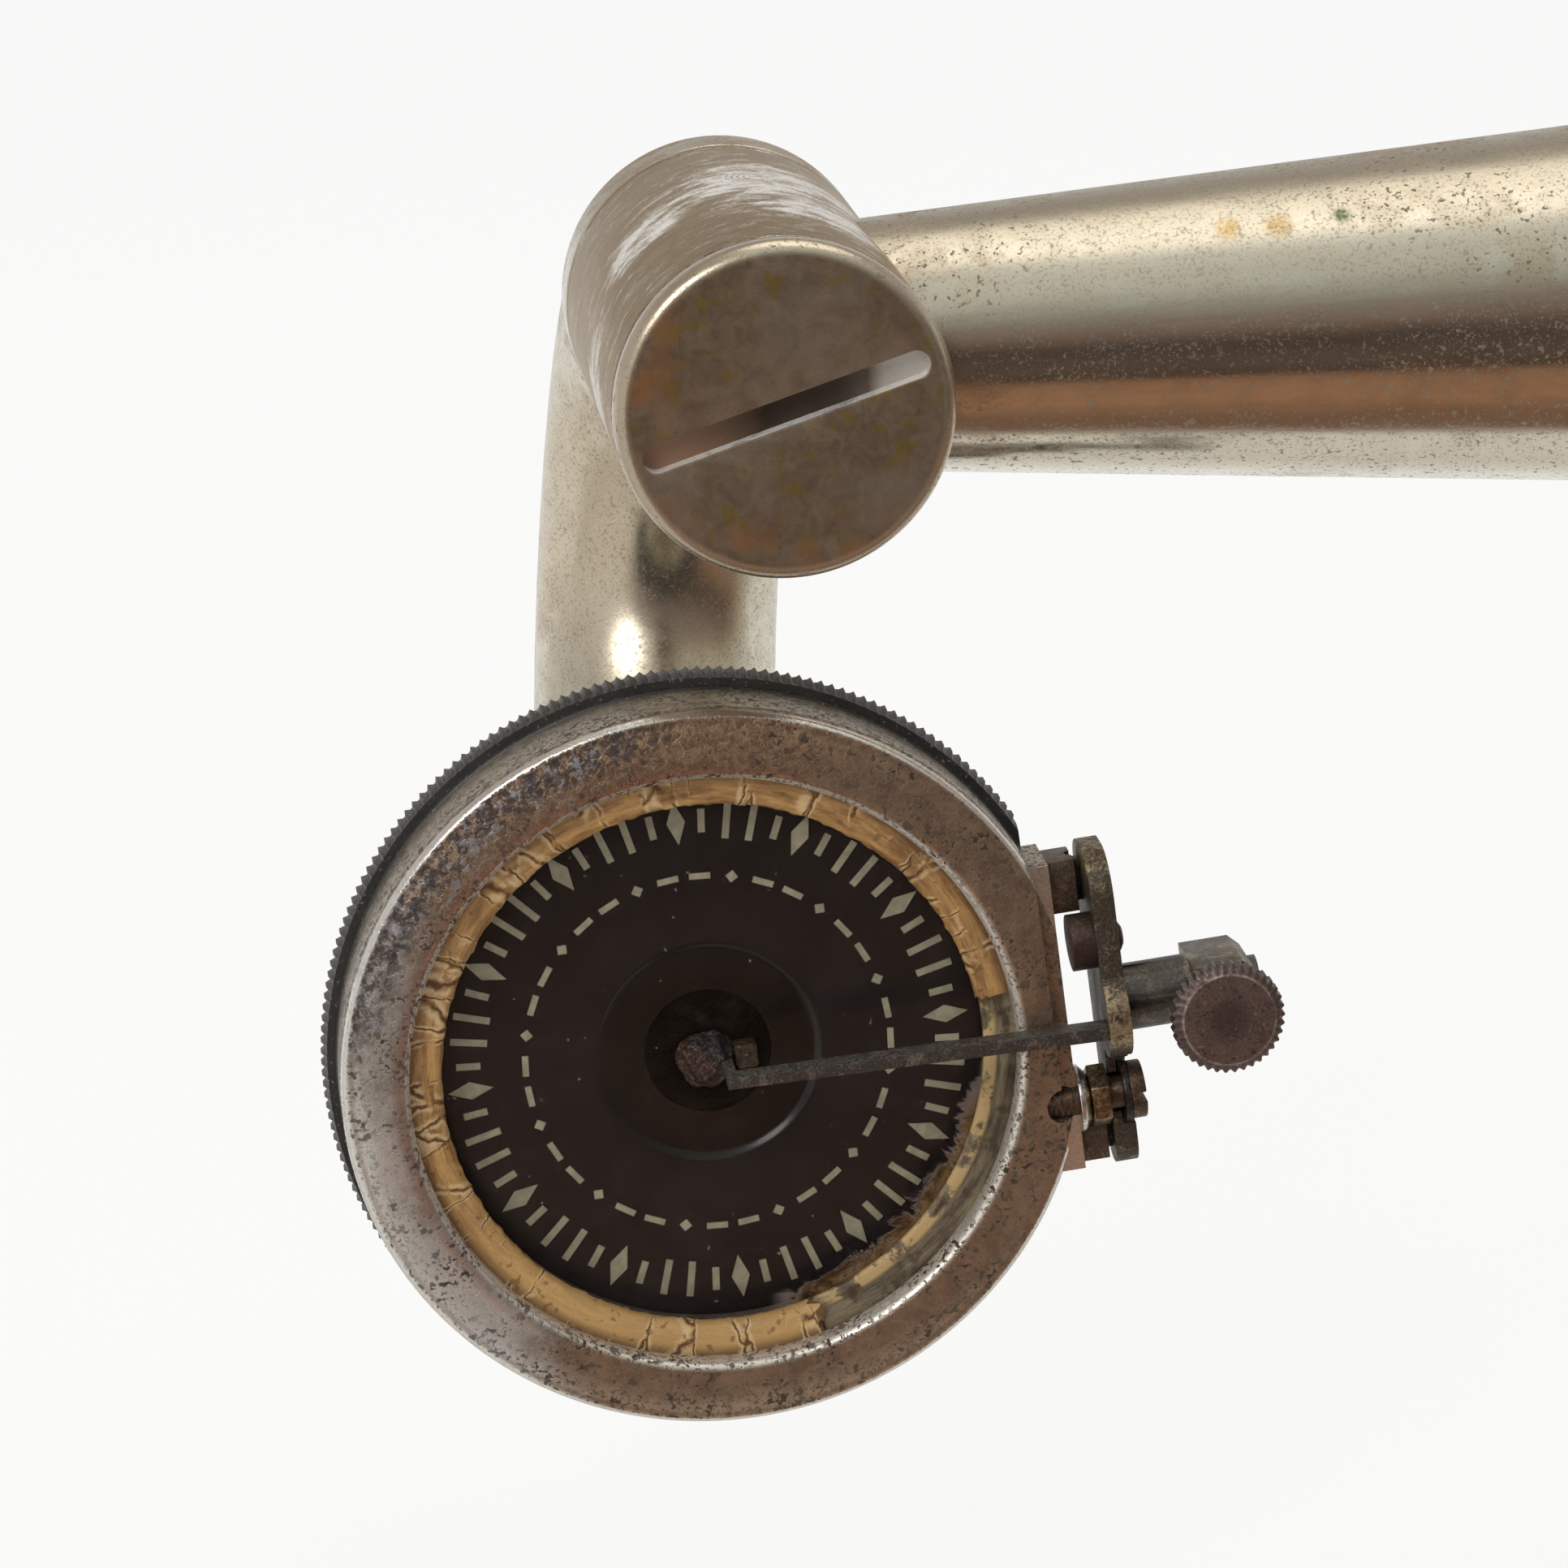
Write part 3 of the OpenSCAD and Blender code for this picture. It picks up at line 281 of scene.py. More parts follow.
class Finish(Wiring):
    """A node material whose patterns are laid out in millimetres in a piece's own frame."""

    def __init__(self, name, at=AT_BASE):
        self.material = bpy.data.materials.new(name)
        self.material.use_nodes = True
        super().__init__(self.material.node_tree)
        self.shader = self.tree.nodes["Principled BSDF"]
        mapping = self.node("ShaderNodeMapping", {
            "Vector": self.node("ShaderNodeTexCoord").outputs["Object"],
            "Location": at.to_translation(),
            "Rotation": at.to_euler(),
            "Scale": (MM, MM, MM),
        }, vector_type="TEXTURE")
        self.place = mapping.outputs["Vector"]
        self.x, self.y, self.z = self.parts(self.place)
        self.tone = None

    def ground(self, amount, a, b):
        """Starts the colour as a mix of two."""
        self.tone = self.mix(amount, a, b)

    def coat(self, mask, shade, share=None):
        """Lays a colour, or a share of it, over the others where a mask shows it."""
        amount = mask if share is None else self.product(mask, share)
        self.tone = self.mix(amount, self.tone, shade)

    def set(self, **values):
        """Sets the shader's inputs, with underscores for the spaces in their names."""
        for name, value in values.items():
            self.feed(self.shader.inputs[name.replace("_", " ")], value)

    def clouds(self, scale, detail=5.0, roughness=0.55, distortion=0.0, at=None):
        """Soft noise with the given number of features per millimetre."""
        return self.node("ShaderNodeTexNoise", {
            "Vector": at or self.place, "Scale": scale, "Detail": detail,
            "Roughness": roughness, "Distortion": distortion,
        }).outputs["Fac"]

    def cell_edges(self, scale, at):
        """Distance to the edges of a pattern with the given number of cells per millimetre."""
        return self.node("ShaderNodeTexVoronoi", {"Vector": at, "Scale": scale},
                         feature="DISTANCE_TO_EDGE").outputs["Distance"]

    def stretched(self, scale, at=None):
        """Coordinates stretched by a factor for each axis."""
        return self.node("ShaderNodeVectorMath", {0: at or self.place, 1: scale},
                         operation="MULTIPLY").outputs["Vector"]

    def pits(self, scale, edge, share=1.0):
        """Small irregular pits, fewer as the edge rises above one half."""
        return self.levels(self.clouds(scale, detail=1.5, roughness=0.6), edge, edge + 0.06, 0.0, share)

    def radius(self):
        """Distance from the Y axis of the piece's frame."""
        square = self.total(self.product(self.x, self.x), self.product(self.z, self.z))
        return self.math("SQRT", square)

    def polar(self, mean_r):
        """Coordinates of arc length, radius and depth about the Y axis."""
        angle = self.math("ARCTAN2", self.z, self.x)
        arc = self.math("MULTIPLY", angle, mean_r)
        return self.node("ShaderNodeCombineXYZ", {0: arc, 1: self.radius(), 2: self.y}).outputs[0]

    def upward(self, low=0.2, high=0.9):
        """How far the surface faces up."""
        normal = self.node("ShaderNodeNewGeometry").outputs["Normal"]
        return self.levels(self.parts(normal)["Z"], low, high)

    def away(self, centre):
        """Distance from a point."""
        return self.node("ShaderNodeVectorMath", {0: self.place, 1: centre},
                         operation="DISTANCE").outputs["Value"]

    def spot(self, centre, radius):
        """Soft round spot about a point."""
        return self.levels(self.away(centre), radius, radius * 0.3)

    def bump(self, height, depth_mm, strength=1.0):
        """Raises the surface by a height pattern."""
        made = self.node("ShaderNodeBump", {"Height": height, "Distance": depth_mm * MM,
                                            "Strength": strength})
        self.set(Normal=made.outputs["Normal"])


def nickel_finish(name, at, colours, specked=0.5, toned=0.5, stains=(), along=(1.0, 1.0, 1.0), dulled=0.0):
    """Worn nickel plate with stains, dark pits and rubbed streaks along it, a dusty film and painted shade
    on top, and painted light on the faces that look down.
    """
    made = Finish(name, at)
    drift = made.clouds(0.045, detail=3.0)
    film = made.clouds(0.32, detail=6.0, roughness=0.65, distortion=0.6)
    grain = made.clouds(3.2, detail=4.0, roughness=0.7)
    streaks = made.clouds(0.8, detail=5.0, roughness=0.65, at=made.stretched(along))
    above = made.upward(0.15, 0.85)
    below = made.upward(-0.4, -0.8)
    patches = made.product(made.levels(drift, 0.46, 0.66), made.levels(film, 0.4, 0.62))
    dust = made.product(made.pits(4.4, 0.56), made.levels(film, 0.3, 0.65, 0.08, 0.36))
    spread = made.most(made.levels(drift, 0.35, 0.6, 0.35, 1.0), below)
    fine = made.product(made.pits(2.4, 0.62), spread, specked)
    coarse = made.product(made.pits(0.9, 0.7), made.levels(grain, 0.42, 0.52), specked, 0.4)
    dirt = made.most(dust, fine, coarse)
    dull = tuple(value * share for value, share in zip(colours.nickel, (0.87, 0.86, 0.83)))
    made.ground(made.levels(film, 0.3, 0.72), colours.nickel, dull)
    made.coat(made.levels(streaks, 0.35, 0.7, 0.0, 0.22), colours.stain)
    # Upward faces: a dusty film and painted shade that dims what they reflect.
    made.coat(above, (0.47, 0.425, 0.34), 0.75)
    # Downward faces: painted light, a paler nickel that stands in for the bright floor they reflect.
    made.coat(below, (0.95, 0.9, 0.79), 0.85)
    made.coat(patches, colours.stain, toned)
    for centre, radius, shade in stains:
        blot = made.product(made.spot(centre, radius), made.levels(grain, 0.3, 0.6, 0.35, 1.0))
        made.coat(blot, shade)
    made.coat(dirt, colours.pit)
    rough = made.total(made.levels(film, 0.3, 0.7, 0.09, 0.17), made.levels(grain, 0.3, 0.7, 0.0, 0.06),
                       made.product(above, 0.14), made.product(patches, 0.12), made.product(dirt, 0.3),
                       dulled)
    made.set(Base_Color=made.tone, Roughness=rough, Metallic=made.levels(dirt, 0.0, 1.0, 1.0, 0.2))
    made.bump(made.total(made.product(grain, 0.22), made.product(streaks, 0.7), made.product(dirt, -0.6)),
              0.014, 0.5)
    return made.material


def cross_finish(size, colours):
    """Tan-grey plate of the cross tube, rubbed round and clouded with white bloom."""
    made = Finish("cross tube plate", AT_CROSS)
    round_it = made.polar(size.cross_r)
    rubbed = made.clouds(1.0, detail=7.0, roughness=0.78, at=made.stretched((0.3, 1.0, 2.4), round_it))
    torn = made.clouds(0.6, detail=8.0, roughness=0.75, at=made.stretched((0.6, 1.0, 1.3), round_it))
    blots = made.clouds(0.22, detail=5.0, roughness=0.6, distortion=0.6)
    grain = made.clouds(4.0, detail=4.0, roughness=0.8)
    spots = made.most(made.pits(4.2, 0.57, 0.5), made.pits(1.8, 0.63, 0.7))
    made.ground(made.levels(rubbed, 0.36, 0.64), (0.2, 0.142, 0.092), (0.4, 0.325, 0.245))
    made.coat(made.levels(grain, 0.36, 0.64, 0.0, 0.45), (0.47, 0.395, 0.31))
    made.coat(made.levels(blots, 0.52, 0.66, 0.0, 0.4), (0.24, 0.165, 0.1))
    bloom = made.most(made.spot((2.5, 3.5, 10.9), 11.0), made.spot((-7.2, -1.0, 8.4), 5.5),
                      made.spot((-11.0, -6.0, -2.0), 7.5), made.spot((5.0, -6.0, 10.2), 9.0))
    cloud = made.total(made.product(bloom, 0.2), torn, made.product(grain, 0.3))
    haze = made.levels(cloud, 0.65, 0.84, 0.0, 0.75)
    made.coat(haze, (0.74, 0.7, 0.625))
    white = made.levels(cloud, 0.75, 0.9, 0.0, 0.88)
    made.coat(white, (0.97, 0.965, 0.945))
    away = made.away((1.6, 4.6, 11.0))
    rings = made.product(made.levels(made.math("SINE", made.product(away, FULL_TURN / 0.4)), 0.2, 0.8),
                         made.levels(away, 2.7, 2.3), made.levels(away, 0.9, 1.2),
                         made.levels(made.x, 2.6, 1.0))
    made.coat(rings, (0.2, 0.155, 0.11), 0.6)
    made.coat(spots, colours.pit, 0.6)
    made.coat(made.levels(made.radius(), size.cross_r - 0.04, size.cross_r - 0.1), colours.pit)
    rough = made.total(made.levels(rubbed, 0.3, 0.7, 0.24, 0.38), made.product(white, 0.2))
    shine = made.product(made.levels(spots, 0.0, 1.0, 0.9, 0.3), made.levels(white, 0.0, 1.0, 1.0, 0.4),
                         made.levels(haze, 0.0, 1.0, 1.0, 0.65))
    made.set(Base_Color=made.tone, Roughness=rough, Metallic=shine, Specular_Tint=(0.85, 0.76, 0.64))
    made.bump(made.total(made.product(grain, 0.6), made.product(rubbed, 0.6)), 0.02, 0.6)
    return made.material


def cap_finish(face, colours):
    """Browned cap with olive and red-brown stains, a rubbed rim and a deep slot with painted shade along
    its floor, painted light at its ends and a painted highlight on its lower wall.
    """
    made = Finish("cap plate", AT_CROSS)
    radius = made.radius()
    wide = made.clouds(0.16, detail=5.0, distortion=0.5)
    film = made.clouds(0.7, detail=7.0, roughness=0.7, distortion=0.7)
    grain = made.clouds(4.0, detail=4.0, roughness=0.75)
    spots = made.most(made.pits(4.0, 0.6, 0.5), made.pits(1.5, 0.66, 0.8))
    made.ground(made.levels(film, 0.3, 0.7), (0.18, 0.125, 0.08), (0.265, 0.192, 0.13))
    made.coat(made.levels(wide, 0.45, 0.62, 0.0, 0.45), (0.31, 0.25, 0.19))
    olive = made.product(made.levels(made.clouds(0.62, detail=5.0, roughness=0.6), 0.54, 0.61),
                         made.levels(wide, 0.56, 0.46, 0.15, 1.0))
    made.coat(olive, (0.24, 0.165, 0.035), 0.8)
    below = made.levels(made.total(made.z, made.product(wide, 4.0)), -3.0, -8.0)
    left = made.levels(made.total(made.x, made.product(wide, 4.0)), -3.5, -7.5)
    reddish = made.product(made.most(below, left), made.levels(radius, 5.5, 9.0),
                           made.levels(made.clouds(0.3, detail=5.0), 0.42, 0.58))
    made.coat(reddish, (0.36, 0.17, 0.07), 0.75)
    rim = made.levels(radius, 10.15, 10.6)
    made.coat(rim, (0.62, 0.55, 0.43), 0.8)
    made.coat(spots, colours.pit, 0.7)
    # Slot floor: painted shade, darkest in the middle, with painted light at the ends and brightest at the
    # right end.
    slot = made.product(made.levels(made.y, face + 0.05, face + 0.25), made.levels(radius, 10.1, 9.9))
    deep = made.ramp(made.levels(made.x, -10.0, 10.0), (0.03, (0.34, 0.2, 0.125)),
                     (0.2, (0.2, 0.115, 0.07)), (0.4, (0.04, 0.024, 0.015)), (0.75, (0.05, 0.034, 0.024)),
                     (0.87, (0.13, 0.1, 0.075)), (0.92, (0.5, 0.46, 0.4)), (0.98, (0.6, 0.57, 0.52)))
    made.coat(slot, deep, 0.95)
    # Slot's lower wall: painted highlight along the edge that catches the light.
    lower = made.product(slot, made.upward(0.4, 0.8), made.levels(film, 0.36, 0.56, 0.55, 1.0))
    made.coat(lower, (0.93, 0.91, 0.87))
    rough = made.total(made.levels(film, 0.3, 0.7, 0.26, 0.38), made.product(rim, -0.08))
    shine = made.product(made.total(0.55, made.product(rim, 0.35)), made.levels(spots, 0.0, 1.0, 1.0, 0.3),
                         made.levels(slot, 0.0, 1.0, 1.0, 0.3))
    made.set(Base_Color=made.tone, Roughness=rough, Metallic=shine)
    made.bump(made.total(made.product(grain, 0.5), made.product(spots, -0.8)), 0.02, 0.6)
    return made.material


def casing_finish(size, colours):
    """Plate of the casing: browned, with painted light that greys the left side and a painted highlight at
    the lower left, tarnished above, pitted all over, and with painted highlights on the lip and the ridge.
    """
    made = Finish("casing plate", AT_BOX)
    radius = made.radius()
    wide = made.clouds(0.1, detail=5.0, roughness=0.6, distortion=0.4)
    film = made.clouds(0.75, detail=7.0, roughness=0.7, distortion=0.5)
    mottle = made.clouds(1.7, detail=7.0, roughness=0.75, distortion=0.6)
    grain = made.clouds(4.0, detail=4.0, roughness=0.75)
    drift = made.levels(wide, 0.2, 0.8, -7.0, 7.0)

    def towards(across, up, low, high, stray=1.0):
        return made.levels(made.total(made.product(made.x, across), made.product(made.z, up),
                                      made.product(drift, stray)), low, high)

    grey = made.mix(made.levels(film, 0.3, 0.7), (0.38, 0.345, 0.3), (0.6, 0.57, 0.53))
    made.ground(made.levels(film, 0.3, 0.7), shaded(colours.browned, 0.68), colours.browned)
    # Left side: painted light, greyed where the light falls from the left.
    made.coat(towards(-1.0, 0.05, 5.0, 20.0), grey)
    # Lower left: painted highlight, a near-white reflection.
    made.coat(towards(-0.87, -0.5, 18.5, 25.0, 0.5), (0.8, 0.785, 0.755), 0.8)
    rust = made.mix(made.levels(mottle, 0.4, 0.6), (0.27, 0.16, 0.093), (0.55, 0.37, 0.235))
    made.coat(towards(-0.3, 0.95, 12.0, 23.0), rust, 0.8)
    blued = made.product(towards(-0.6, 0.8, 17.5, 22.0, 0.3),
                         made.levels(radius, size.case_r - 3.3, size.case_r - 1.8),
                         made.levels(mottle, 0.58, 0.46))
    made.coat(blued, colours.tarnish, 0.8)
    frost = made.product(towards(-0.85, 0.5, 12.0, 19.0),
                         made.levels(made.clouds(1.3, detail=5.0), 0.54, 0.63))
    made.coat(frost, (0.58, 0.58, 0.62), 0.55)
    copper = made.product(made.levels(radius, size.lip_r + 1.56, size.lip_r + 0.76),
                          towards(-0.8, 0.5, 2.0, 14.0))
    made.coat(copper, (0.37, 0.19, 0.125), 0.55)
    side = made.levels(made.y, 0.6, 1.0)
    tan = made.mix(made.levels(film, 0.3, 0.7), (0.29, 0.235, 0.165), (0.47, 0.405, 0.315))
    made.coat(side, tan)
    # Lip: painted highlight on the rounded lip, widest towards the lower right.
    reach = made.product(towards(0.9, -0.5, -10.0, 14.0), 0.3)
    lip = made.levels(made.math("SUBTRACT", radius, reach), size.lip_r + 0.51, size.lip_r - 0.04)
    made.coat(lip, (0.86, 0.81, 0.725))
    # Ridge: painted highlight, a thin near-white line along the rounded ridge.
    ridge = made.product(made.levels(radius, size.case_r - 0.5, size.case_r - 0.32),
                         made.levels(made.y, 0.5, 0.3))
    made.coat(ridge, (0.92, 0.9, 0.85), 0.85)
    clusters = made.levels(made.clouds(0.28, detail=4.0), 0.36, 0.58, 0.5, 1.0)
    pits = made.most(made.product(made.pits(3.4, 0.55), clusters, 0.85),
                     made.product(made.pits(1.8, 0.59), clusters), made.pits(1.2, 0.62, 0.85))
    pits = made.product(pits, made.levels(ridge, 0.0, 1.0, 1.0, 0.2))
    made.coat(pits, colours.pit)
    rough = made.total(made.levels(film, 0.3, 0.7, 0.22, 0.34), made.product(ridge, -0.12),
                       made.product(pits, 0.3))
    shine = made.total(0.72, made.product(ridge, 0.26), made.product(lip, -0.12))
    made.set(Base_Color=made.tone, Roughness=rough,
             Metallic=made.product(shine, made.levels(pits, 0.0, 1.0, 1.0, 0.1)))
    made.bump(made.total(made.product(grain, 0.35), made.product(pits, -1.0)), 0.04, 0.7)
    return made.material


def paper_finish(size, colours):
    """Ochre paper on the gasket, wrinkled along it and cracked across in a few places, with painted light
    towards the bottom, a painted shadow under the lip and painted shade where it meets the mica.
    """
    made = Finish("gasket paper", AT_BOX)
    round_it = made.polar(GASKET_MIDDLE_R)
    along = made.clouds(1.0, detail=6.0, roughness=0.7, at=made.stretched((0.25, 1.5, 1.5), round_it))
    blots = made.clouds(0.3, detail=6.0, roughness=0.65, distortion=0.5)
    fibre = made.clouds(5.0, detail=4.0, roughness=0.7, at=made.stretched((0.6, 1.6, 1.6), round_it))
    shift = made.node("ShaderNodeTexNoise", {"Vector": round_it, "Scale": 0.9,
                                             "Detail": 4.0}).outputs["Color"]
    shaken = made.node("ShaderNodeVectorMath", {0: round_it, 1: shift}, operation="ADD").outputs["Vector"]
    crack = made.cell_edges(0.3, made.stretched((1.3, 0.3, 0.3), shaken))
    open_here = made.levels(blots, 0.45, 0.55)
    cracks = made.product(made.levels(crack, 0.022, 0.006), open_here)
    light = made.product(made.levels(crack, 0.02, 0.04), made.levels(crack, 0.1, 0.05), open_here)
    made.ground(made.levels(along, 0.34, 0.66), colours.paper_dark, colours.paper)
    # Lower part of the ring: painted light, paler paper towards the bottom.
    made.coat(made.levels(made.z, -4.0, -17.0, 0.0, 0.7), (0.63, 0.39, 0.15))
    made.coat(made.levels(blots, 0.52, 0.7, 0.0, 0.4), (0.66, 0.42, 0.17))
    # Outer edge: painted shadow of the casing's lip on the paper.
    edge = made.levels(made.radius(), size.gasket_outer_r - 1.43, size.gasket_outer_r - 0.33)
    made.coat(edge, (0.11, 0.048, 0.015), 0.85)
    # Back of the inner curl, where the paper meets the mica: painted shade.
    inner = made.levels(made.y, size.lip_back + 0.9, size.lip_back + 1.5)
    made.coat(inner, (0.13, 0.058, 0.018), 0.8)
    made.coat(light, (0.84, 0.63, 0.35), 0.5)
    made.coat(cracks, (0.09, 0.035, 0.01), 0.9)
    made.coat(made.levels(fibre, 0.52, 0.76, 0.0, 0.4), colours.paper_dark)
    made.coat(made.pits(1.3, 0.64), (0.16, 0.07, 0.022), 0.6)
    made.set(Base_Color=made.tone, Roughness=made.levels(along, 0.2, 0.8, 0.48, 0.7))
    made.bump(made.total(along, made.product(cracks, -0.7), made.product(light, 0.4),
                         made.product(fibre, 0.25)), 0.09, 0.8)
    return made.material


def bed_finish(size):
    """Dull channel that the torn paper lays bare, with shreds of paper at its inner edge."""
    made = Finish("gasket bed", AT_BOX)
    round_it = made.polar(GASKET_MIDDLE_R)
    along = made.clouds(0.8, detail=5.0, roughness=0.7, at=made.stretched((0.25, 1.6, 1.6), round_it))
    blots = made.clouds(0.5, detail=6.0, roughness=0.65)
    made.ground(made.levels(along, 0.3, 0.7), (0.07, 0.046, 0.024), (0.3, 0.235, 0.14))
    made.coat(made.levels(blots, 0.52, 0.64, 0.0, 0.8), (0.06, 0.03, 0.014))
    shreds = made.product(made.levels(made.radius(), size.gasket_r + 1.3, size.gasket_r + 1.0),
                          made.levels(blots, 0.52, 0.44))
    made.coat(shreds, (0.56, 0.38, 0.17))
    made.set(Base_Color=made.tone, Roughness=made.levels(blots, 0.3, 0.7, 0.3, 0.55))
    made.bump(along, 0.12, 0.8)
    return made.material


def lacquer_finish(size, colours):
    """Brown-black lacquer of the dial with faint smears, and painted shade that makes the dish round the
    sound hole darkest.
    """
    made = Finish("dial lacquer", AT_BOX)
    smear = made.clouds(0.16, detail=5.0, roughness=0.6, distortion=1.0)
    made.ground(made.levels(smear, 0.4, 0.7), colours.dial, shaded(colours.dial, 1.5))
    # Dish: painted shade, near black round the sound hole.
    made.coat(made.levels(made.radius(), size.dish_r + 1.3, size.dish_r - 0.1, 0.0, 0.95),
              (0.0012, 0.0008, 0.0008))
    made.set(Base_Color=made.tone, Roughness=made.levels(smear, 0.35, 0.7, 0.2, 0.26),
             Specular_IOR_Level=0.42)
    made.bump(smear, 0.02, 0.3)
    return made.material


def mark_finish(colours):
    """Cream paint of the dial's marks."""
    made = Finish("dial marks", AT_BOX)
    wear = made.clouds(1.4, detail=5.0, roughness=0.65)
    made.ground(made.levels(wear, 0.32, 0.7), shaded(colours.mark, 0.72), colours.mark)
    made.set(Base_Color=made.tone, Roughness=made.levels(wear, 0.3, 0.7, 0.42, 0.6))
    return made.material


def mica_finish():
    """Clear mica with a faint haze, dust, smudges about the wax and residue where the gasket is torn."""
    made = Finish("mica", AT_BOX)
    radius = made.radius()
    haze = made.clouds(0.2, detail=5.0, roughness=0.6, distortion=1.2)
    blots = made.clouds(0.45, detail=7.0, roughness=0.72, distortion=0.6)
    dust = made.pits(1.7, 0.735, 0.45)
    torn = made.product(made.levels(made.total(made.product(made.x, 0.62), made.product(made.z, -0.78)),
                                    13.5, 17.0), made.levels(made.x, 1.5, 4.5))
    dirt = made.product(torn, made.levels(made.total(blots, made.levels(radius, 16.8, 19.8, -0.16, 0.16)),
                                          0.5, 0.56))
    smudge = made.product(made.levels(radius, 8.0, 3.5), made.levels(blots, 0.5, 0.68, 0.002, 0.022))
    cover = made.most(made.total(made.levels(haze, 0.4, 0.8, 0.009, 0.018), smudge), dust,
                      made.product(dirt, 0.85))
    brown = made.mix(made.levels(blots, 0.42, 0.66), (0.2, 0.12, 0.048), (0.035, 0.017, 0.008))
    made.ground(made.levels(radius, 9.0, 6.0), (0.5, 0.4, 0.375), (0.4, 0.28, 0.2))
    made.coat(dirt, brown)
    made.set(Base_Color=made.tone, Roughness=made.levels(haze, 0.3, 0.7, 0.1, 0.18), Alpha=cover)
    return made.material


def rubber_finish(size, colours):
    """Black hard rubber with dust on the tips of its teeth."""
    made = Finish("hard rubber", AT_BOX)
    film = made.clouds(0.5, detail=6.0, roughness=0.65)
    grain = made.clouds(4.0, detail=4.0, roughness=0.7)
    tips = made.levels(made.radius(), size.flange_r - 0.33, size.flange_r - 0.02)
    dusty = made.total(made.product(tips, made.levels(grain, 0.35, 0.62, 0.25, 0.9)),
                       made.product(made.upward(0.2, 0.9), made.levels(grain, 0.4, 0.65, 0.0, 0.3)))
    made.ground(made.levels(film, 0.3, 0.7), colours.rubber, (0.034, 0.031, 0.029))
    made.coat(dusty, colours.dust, 0.55)
    made.coat(made.pits(3.4, 0.64), (0.3, 0.28, 0.25), 0.45)
    made.set(Base_Color=made.tone, Roughness=made.total(0.36, made.product(dusty, 0.3)))
    made.bump(grain, 0.05, 0.6)
    return made.material


def steel_finish(name, colours, base, worn, wear_low, wear_high, rough=0.38, dusty=0.35, metal=0.75,
                 thread_end=0.0, dark_end=0.0):
    """Darkened metal that is worn bright in patches, pitted, and dusty where it faces up."""
    made = Finish(name, AT_BOX)
    film = made.clouds(0.8, detail=6.0, roughness=0.72, distortion=0.4)
    grain = made.clouds(5.0, detail=5.0, roughness=0.75)
    rubbed = made.levels(made.total(made.product(film, 0.65), made.product(grain, 0.35)), wear_low,
                         wear_high)
    made.ground(made.levels(grain, 0.3, 0.7), shaded(base, 0.6), base)
    made.coat(rubbed, worn)
    if dark_end:
        made.coat(made.levels(made.x, dark_end + 0.2, dark_end - 0.2, 0.0, 0.72), (0.062, 0.056, 0.055))
    powder = made.product(made.upward(), made.levels(grain, 0.4, 0.62), dusty)
    made.coat(powder, colours.dust)
    spots = made.most(made.pits(6.0, 0.58, 0.6), made.pits(2.4, 0.66, 0.8))
    made.coat(spots, colours.pit, 0.6)
    glints = made.pits(4.4, 0.64, dusty)
    made.coat(glints, worn)
    roughness = made.total(made.levels(grain, 0.3, 0.7, rough, rough + 0.14), made.product(rubbed, -0.1),
                           made.product(powder, 0.3))
    shine = made.math("SUBTRACT", metal, made.product(powder, metal))
    made.set(Base_Color=made.tone, Roughness=roughness, Metallic=shine)
    height = made.total(made.product(grain, 0.7), made.product(spots, -0.6))
    if thread_end:
        wave = made.math("SINE", made.product(made.x, FULL_TURN / THREAD_PITCH))
        height = made.total(height, made.product(wave, made.levels(made.x, thread_end + 0.1, thread_end),
                                                 2.5))
    made.bump(height, 0.03, 0.6)
    return made.material


def thumb_finish(at, colours, edge_r):
    """Browned steel of the thumb screw, dark in the middle, with a painted highlight round the edge of its
    face and painted glints.
    """
    made = Finish("thumb screw steel", at)
    radius = made.radius()
    film = made.clouds(0.9, detail=6.0, roughness=0.72, distortion=0.4)
    grain = made.clouds(4.0, detail=5.0, roughness=0.75)
    made.ground(made.levels(grain, 0.34, 0.66), (0.11, 0.076, 0.07), (0.25, 0.185, 0.17))
    made.coat(made.levels(film, 0.42, 0.66, 0.0, 0.5), (0.25, 0.18, 0.155))
    made.coat(made.levels(radius, 2.1, 0.7, 0.0, 0.6), (0.06, 0.042, 0.042))
    edge = made.product(made.levels(radius, edge_r - 0.1, edge_r),
                        made.levels(radius, edge_r + 0.14, edge_r + 0.04))
    made.coat(made.levels(radius, edge_r, edge_r + 0.3, 0.0, 0.5), (0.065, 0.046, 0.044))
    # Painted highlight: a bright ring round the edge of the face.
    made.coat(made.product(edge, made.levels(film, 0.4, 0.6, 0.1, 0.6)), (0.62, 0.55, 0.46))
    # Painted glints: small light specks.
    made.coat(made.pits(3.6, 0.64), (0.44, 0.35, 0.28), 0.5)
    spots = made.most(made.pits(4.0, 0.58, 0.6), made.pits(1.9, 0.66, 0.8))
    made.coat(spots, colours.pit, 0.7)
    made.set(Base_Color=made.tone, Roughness=made.levels(grain, 0.3, 0.7, 0.34, 0.48), Metallic=0.72)
    made.bump(made.total(grain, made.product(spots, -0.6)), 0.03, 0.6)
    return made.material


